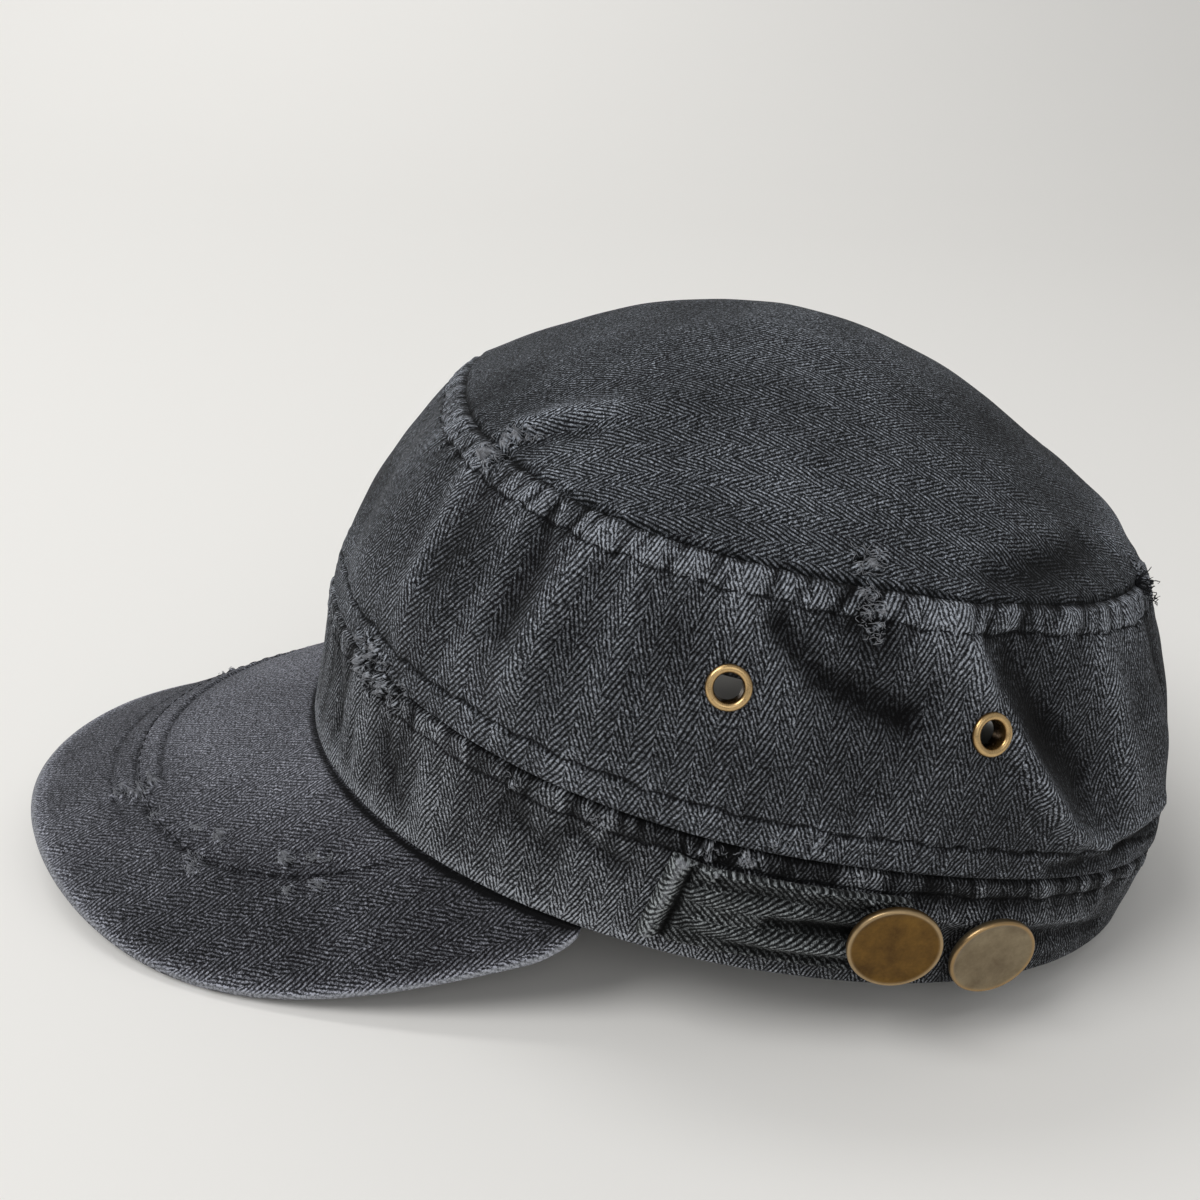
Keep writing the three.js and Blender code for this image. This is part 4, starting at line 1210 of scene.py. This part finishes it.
# %% Cloth pieces in place
def seat_of(node):
    """Lowest middle and outward axis of a round CAD piece, from how its points are spread."""
    points = np.array([vertex.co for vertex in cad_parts[node].data.vertices])
    middle = points.mean(0)
    axis = np.linalg.svd(points - middle, full_matrices=False)[2][2]
    from_cap = middle - np.array([REST_SHIFT[0] * MM, REST_SHIFT[1] * MM, middle[2]])
    axis = axis if axis @ from_cap > 0 else -axis
    return Vector(middle + axis * ((points - middle) @ axis).min()), Vector(axis)


def place_piece(piece, node=None):
    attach(piece, "root")
    if node:
        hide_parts(node)


EYELETS = [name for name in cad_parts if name.startswith("eyelet")]
eyelet_holes = [(*seat_of(name), EYELET_HOLE * MM) for name in EYELETS]

wall_rows = section(
    dense_shares([(0.012, 24), (0.2, 24), (0.8, 32), (0.988, 0)]),
    dense_shares([(0.985, 8), (0.015, 0)]), WALL_THICKNESS, 0.012)
wall = cloth_piece(
    "side_wall_cloth", 960, wall_rows, wall_lay, round_the_cap,
    cloth_finish("wall cloth", grey(6, 6, 7), grey(170, 175, 184), 0.08), eyelet_holes)
place_piece(wall, "crown_wall")

band_rows = section(
    dense_shares([(0.03, 22), (0.62, 26), (0.975, 0)]),
    dense_shares([(0.97, 5), (0.03, 0)]), BAND_THICKNESS, 0.025)
band = cloth_piece(
    "band_cloth", 960, band_rows, band_lay, round_the_cap,
    cloth_finish("band cloth", grey(5, 5, 6), grey(172, 176, 183)))
place_piece(band, "band")

# %% [markdown]
# The top's rows close at the apex, and the peak and the tab have two free ends each. Rows stand
# close together where there are frays, welts or seams, and far apart on the inner face.

# %% Top, peak and tab in place
top_rows = [(share, 0.0) for share in dense_shares([(1.0, 26), (0.87, 54), (0, 0)])]
top_rows += [(share, TOP_THICKNESS) for share in dense_shares([(0.0, 12), (0.985, 0)])]
top_rows += [(1.004, TOP_THICKNESS * 0.5), top_rows[0]]
top = cloth_piece(
    "top_cloth", 760, top_rows, top_lay, round_the_cap,
    cloth_finish("top cloth", grey(6, 7, 8), grey(177, 183, 193)))
place_piece(top, "crown_top")

peak_rows = section(
    dense_shares([(-0.05, 4), (0.0, 30), (0.3, 84), (0.76, 44), (0.978, 0)]),
    dense_shares([(0.975, 14), (-0.05, 0)]), PEAK_THICKNESS, 0.022)
peak = cloth_piece(
    "peak_cloth", 420, peak_rows, peak_lay, across_the_peak,
    cloth_finish("peak cloth", grey(10, 10, 12), grey(178, 180, 191), 0.56, sides=0.4))
place_piece(peak, "peak")

tab_rows = section(
    dense_shares([(0.04, 34), (0.96, 0)]),
    dense_shares([(0.96, 5), (0.04, 0)]), TAB_THICKNESS, 0.04)
tab = cloth_piece(
    "tab_cloth", 110, tab_rows, tab_lay, lambda across: across * TAB_LENGTH,
    cloth_finish("tab cloth", grey(5, 6, 6), grey(166, 171, 173), lines=(1.15, 1.5)))
place_piece(tab, "tab")

# %% [markdown]
# ## Buttons and eyelets
# Both are turned pieces: a profile spun round its axis. The profile gives radii and heights in
# millimetres. A button's rim is rubbed bright, and the whole crown of an eyelet, whose profile is a
# closed ring.

# %% Spun brass
def spun_piece(name, profile, node, material, sides=96):
    shaped = bmesh.new()
    points = [shaped.verts.new((radius * MM, 0, height * MM)) for radius, height in profile]
    edges = [shaped.edges.new(pair) for pair in zip(points, points[1:])]
    bmesh.ops.spin(
        shaped, geom=points + edges, cent=(0, 0, 0), axis=(0, 0, 1), angle=math.tau,
        steps=sides, use_merge=True)
    bmesh.ops.remove_doubles(shaped, verts=shaped.verts, dist=MERGED)
    bmesh.ops.recalc_face_normals(shaped, faces=shaped.faces)
    mesh = bpy.data.meshes.new(name)
    shaped.to_mesh(mesh)
    shaped.free()
    local = np.empty(len(mesh.vertices) * 3)
    mesh.vertices.foreach_get("co", local)
    local = local.reshape(-1, 3) / MM
    radius = np.hypot(local[:, 0], local[:, 1])
    widest = max(place[0] for place in profile)
    highest = max(place[1] for place in profile)
    rubbed = step(local[:, 2], highest - 0.9, highest - 0.3)
    rubbed *= step(radius, widest * 0.9, widest * 0.95)
    if profile[0] == profile[-1]:
        rubbed = step(local[:, 2], highest - 0.6, highest - 0.05)
    mesh.attributes.new("edge", "FLOAT", "POINT").data.foreach_set("value", rubbed)
    seat, axis = seat_of(node)
    lowest = min(height for _, height in profile)
    turn = axis.to_track_quat("Z", "Y").to_matrix().to_4x4()
    mesh.transform(
        Matrix.Translation(seat) @ turn @ Matrix.Translation((0, 0, -lowest * MM)))
    return mesh_object(name, mesh, material)


BUTTON_PROFILE = (
    (0, 0.3), (3.0, 0.3), (3.2, 0.5), (3.2, 1.1), (2.6, 1.6), (2.3, 2.0), (2.3, 2.9), (2.5, 3.0),
    (7.7, 3.02), (8.3, 3.15), (8.65, 3.45), (8.8, 3.85), (8.8, 4.4), (8.74, 4.7), (8.6, 4.88),
    (8.42, 4.94), (8.24, 4.9), (8.05, 4.79), (7.8, 4.72), (6.6, 4.7), (4.0, 4.76), (0, 4.8))
front_brass = brass_finish(
    "front button brass", grey(122, 91, 42), grey(74, 53, 27), grey(172, 148, 112), 0.38)
rear_brass = brass_finish(
    "rear button brass", grey(148, 134, 108), grey(112, 97, 75), grey(170, 140, 98), 0.32)
for node, material in (("button_front", front_brass), ("button_rear", rear_brass)):
    place_piece(spun_piece(node + "_spun", BUTTON_PROFILE, node, material), node)

ring = [(3.42 + 0.78 * math.cos(turn), 0.5 + 0.8 * math.sin(turn))
        for turn in np.radians(np.arange(0, 181, 15))]
EYELET_PROFILE = [
    (2.64, -2.8), (3.9, -2.8), (3.9, -2.1), (3.1, -2.1), (3.1, 0.3), (4.1, 0.3), *ring, (2.64, -2.8)]
eyelet_brass = brass_finish(
    "eyelet brass", grey(154, 119, 70), grey(92, 66, 38), grey(206, 174, 124), 0.26)
for node in EYELETS:
    eyelet = spun_piece(node + "_spun", EYELET_PROFILE, node, eyelet_brass, 64)
    place_piece(eyelet, node)

# %% [markdown]
# ## Stitches and loose threads
# Threads are curves with a round section, turned into meshes. A stitch dips into the cloth at both
# its ends. A frayed place gets a tangle of fine curled fibres that stay near the cloth.

# %% Threads
def thread_piece(name, strands, radius, material):
    curve = bpy.data.curves.new(name, "CURVE")
    curve.dimensions = "3D"
    curve.bevel_depth = radius * MM
    curve.bevel_resolution = 1
    curve.use_fill_caps = True
    for points in strands:
        spline = curve.splines.new("POLY")
        spline.points.add(len(points) - 1)
        spline.points.foreach_set("co", np.c_[points, np.ones(len(points))].ravel())
        taper = np.ones(len(points))
        taper[[0, -1]] = 0.5
        spline.points.foreach_set("radius", taper)
    line = bpy.data.objects.new(name, curve)
    mesh = bpy.data.meshes.new_from_object(line)
    bpy.data.objects.remove(line)
    place_piece(mesh_object(name, mesh, material))


STITCH_RISE = (-0.15, 0.03, 0.1, 0.03, -0.15)


def stitches(lay, start, end, share_at, per_unit, stitch=0.78):
    """Stitches between two places, at share_at(place), with per_unit of them to a unit."""
    count = int(abs(end - start) * per_unit)
    middles = np.linspace(start, end, count)
    half = stitch / per_unit / 2
    places = (middles[:, None] + np.linspace(-half, half, len(STITCH_RISE))).ravel()
    rise = np.tile(STITCH_RISE, count)
    points = at_rest(lay(places, share_at(places), -rise)[0])
    return points.reshape(count, len(STITCH_RISE), 3)


def top_stitching(angle):
    return 1 - (STRIP_WIDTH + 0.25 - waver(angle)) / wall_height(angle)


def low_stitching(angle):
    return (around(angle, WALL_STITCH_LOW) + 0.2 - waver(angle + 1)) / wall_height(angle)


def band_stitching(angle):
    return 1 - (around(angle, BAND_STITCH) + 0.2 - waver(angle + 2)) / around(angle, BAND_HEIGHT)


dark_thread = thread_finish("dark thread", grey(28, 29, 32))
pale_thread = thread_finish("pale fibre", grey(150, 152, 157))
STITCH_SPACING = 2.7
THREAD_RADIUS = 0.14
PER_RADIAN = MEAN_RADIUS / STITCH_SPACING
SEAMS = (
    (wall_lay, top_stitching, PER_RADIAN * 0.8),
    (wall_lay, low_stitching, PER_RADIAN),
    (band_lay, band_stitching, PER_RADIAN))
seam_stitches = [
    stitch for lay, line, per_unit in SEAMS
    for stitch in stitches(lay, -math.pi, math.pi, line, per_unit)]
thread_piece("crown_stitches", seam_stitches, THREAD_RADIUS, dark_thread)
peak_stitches = stitches(
    peak_lay, -0.62, 0.62, lambda across: arc_share(across) - 1.0 / PEAK_REACH, 38)
thread_piece("peak_stitches", peak_stitches, THREAD_RADIUS, dark_thread)

# %% [markdown]
# A fibre starts in a frayed place and wanders over the cloth in small random turns, a little above
# it. The list of frayed places is the same that raised the mounds.

# %% Loose fibres
FIBRE_STEP = 0.28
FIBRE_RADIUS = 0.065
TUFT_RADIUS = 0.1
DEEPEST = -0.12
HIGHEST = 0.9


def tangle(lay, flat_size, places, seed, each, in_radians=False, wild=1):
    """Curled fibres at frayed places; flat_size is how long one unit of place and of share is.

    Wild ones are that many times as long and stand up that much more.
    """
    chance = random.Random(seed)
    strands = []
    for place, share, radius, gone in places:
        for _ in range(int(each * gone)):
            heading = chance.uniform(0, math.tau)
            x = chance.gauss(0, 0.5 * radius)
            y = chance.gauss(0, 0.5 * radius)
            curl = chance.uniform(-0.7, 0.7)
            lift = chance.uniform(DEEPEST, 0.5)
            walk = []
            for _ in range(chance.choice((3, 3, 4, 6)) * wild):
                walk.append((x, y, lift))
                heading += curl + chance.gauss(0, 0.25)
                x += FIBRE_STEP * math.cos(heading)
                y += FIBRE_STEP * math.sin(heading)
                lift = min(max(lift + chance.gauss(0, 0.16) * wild, DEEPEST), HIGHEST * wild)
            steps = np.array(walk)
            start = math.radians(place) if in_radians else place
            points, _, _ = lay(
                start + steps[:, 0] / flat_size[0], share + steps[:, 1] / flat_size[1], -steps[:, 2])
            strands.append(at_rest(points))
    return strands


fibres = [
    *tangle(wall_lay, (MEAN_RADIUS, WALL_REACH), WALL_FRAYS, 71, 30, True),
    *tangle(band_lay, (MEAN_RADIUS, BAND_HEIGHT[1]), BAND_FRAYS, 72, 26, True),
    *tangle(top_lay, (TOP["half_width"], TOP["half_width"]), TOP_FRAYS, 73, 36, True)]
thread_piece("crown_fibres", fibres, FIBRE_RADIUS, pale_thread)
tuft = tangle(wall_lay, (MEAN_RADIUS, WALL_REACH), REAR_TUFT, 75, 24, True, wild=2)
thread_piece("rear_tuft", tuft, TUFT_RADIUS, dark_thread)
peak_fibres = tangle(peak_lay, (PEAK_HALF_WIDTH * 1.3, PEAK_REACH), PEAK_FRAYS, 74, 60)
thread_piece("peak_fibres", peak_fibres, FIBRE_RADIUS, pale_thread)


# %% [markdown]
# ## Floor and light
# The photograph has a pale, even ground and soft light from above. A wide floor that curves up into
# a wall gives a ground without a horizon, and large area lights give soft shadows.

# %% Floor and light
def backdrop():
    behind, bend, height, ahead, half_width = 1.2, 2.4, 3.6, 3.0, 4.0
    outline = [(ahead, 0.0), (-behind, 0.0)]
    outline += [(-behind - bend * math.sin(turn), bend * (1 - math.cos(turn)))
                for turn in np.radians(np.arange(7.5, 91, 7.5))]
    outline.append((-behind - bend, height))
    shaped = bmesh.new()
    corners = [shaped.verts.new((x, -half_width, z)) for x, z in outline]
    edges = [shaped.edges.new(pair) for pair in zip(corners, corners[1:])]
    swept = bmesh.ops.extrude_edge_only(shaped, edges=edges)["geom"]
    moved = [part for part in swept if isinstance(part, bmesh.types.BMVert)]
    bmesh.ops.translate(shaped, verts=moved, vec=(0, 2 * half_width, 0))
    bmesh.ops.rotate(
        shaped, verts=shaped.verts, cent=(0, 0, 0), matrix=Matrix.Rotation(CAMERA_AZIMUTH, 3, "Z"))
    bmesh.ops.recalc_face_normals(shaped, faces=shaped.faces)
    mesh = bpy.data.meshes.new("floor")
    shaped.to_mesh(mesh)
    shaped.free()
    finish = Finish("floor")
    finish.surface(Base_Color=grey(238, 236, 232), Roughness=0.9)
    mesh_object("floor", mesh, finish.material)


backdrop()


def soft_light(name, place, aim, size, power):
    light = bpy.data.objects.new(name, bpy.data.lights.new(name, "AREA"))
    bpy.context.scene.collection.objects.link(light)
    light.data.shape = "DISK"
    light.data.size = size
    light.data.energy = power
    direction = Vector(place) - Vector(aim)
    turn = direction.to_track_quat("Z", "Y").to_matrix().to_4x4()
    light.matrix_world = Matrix.Translation(place) @ turn


soft_light("from the front", (0.45, -0.95, 1.3), (0, 0, 0), 0.9, 12.8)
soft_light("camera side", (1.3, 0.1, 0.9), (0, 0, 0.05), 0.9, 2.5)
soft_light("on the backdrop", (-1.2, -1.1, 2.6), (-3.3, -0.5, 0.7), 1.6, 38)

world = bpy.data.worlds.new("room")
bpy.context.scene.world = world
world.use_nodes = True
world.node_tree.nodes["Background"].inputs["Color"].default_value = grey(236, 237, 238)
world.node_tree.nodes["Background"].inputs["Strength"].default_value = 0.48
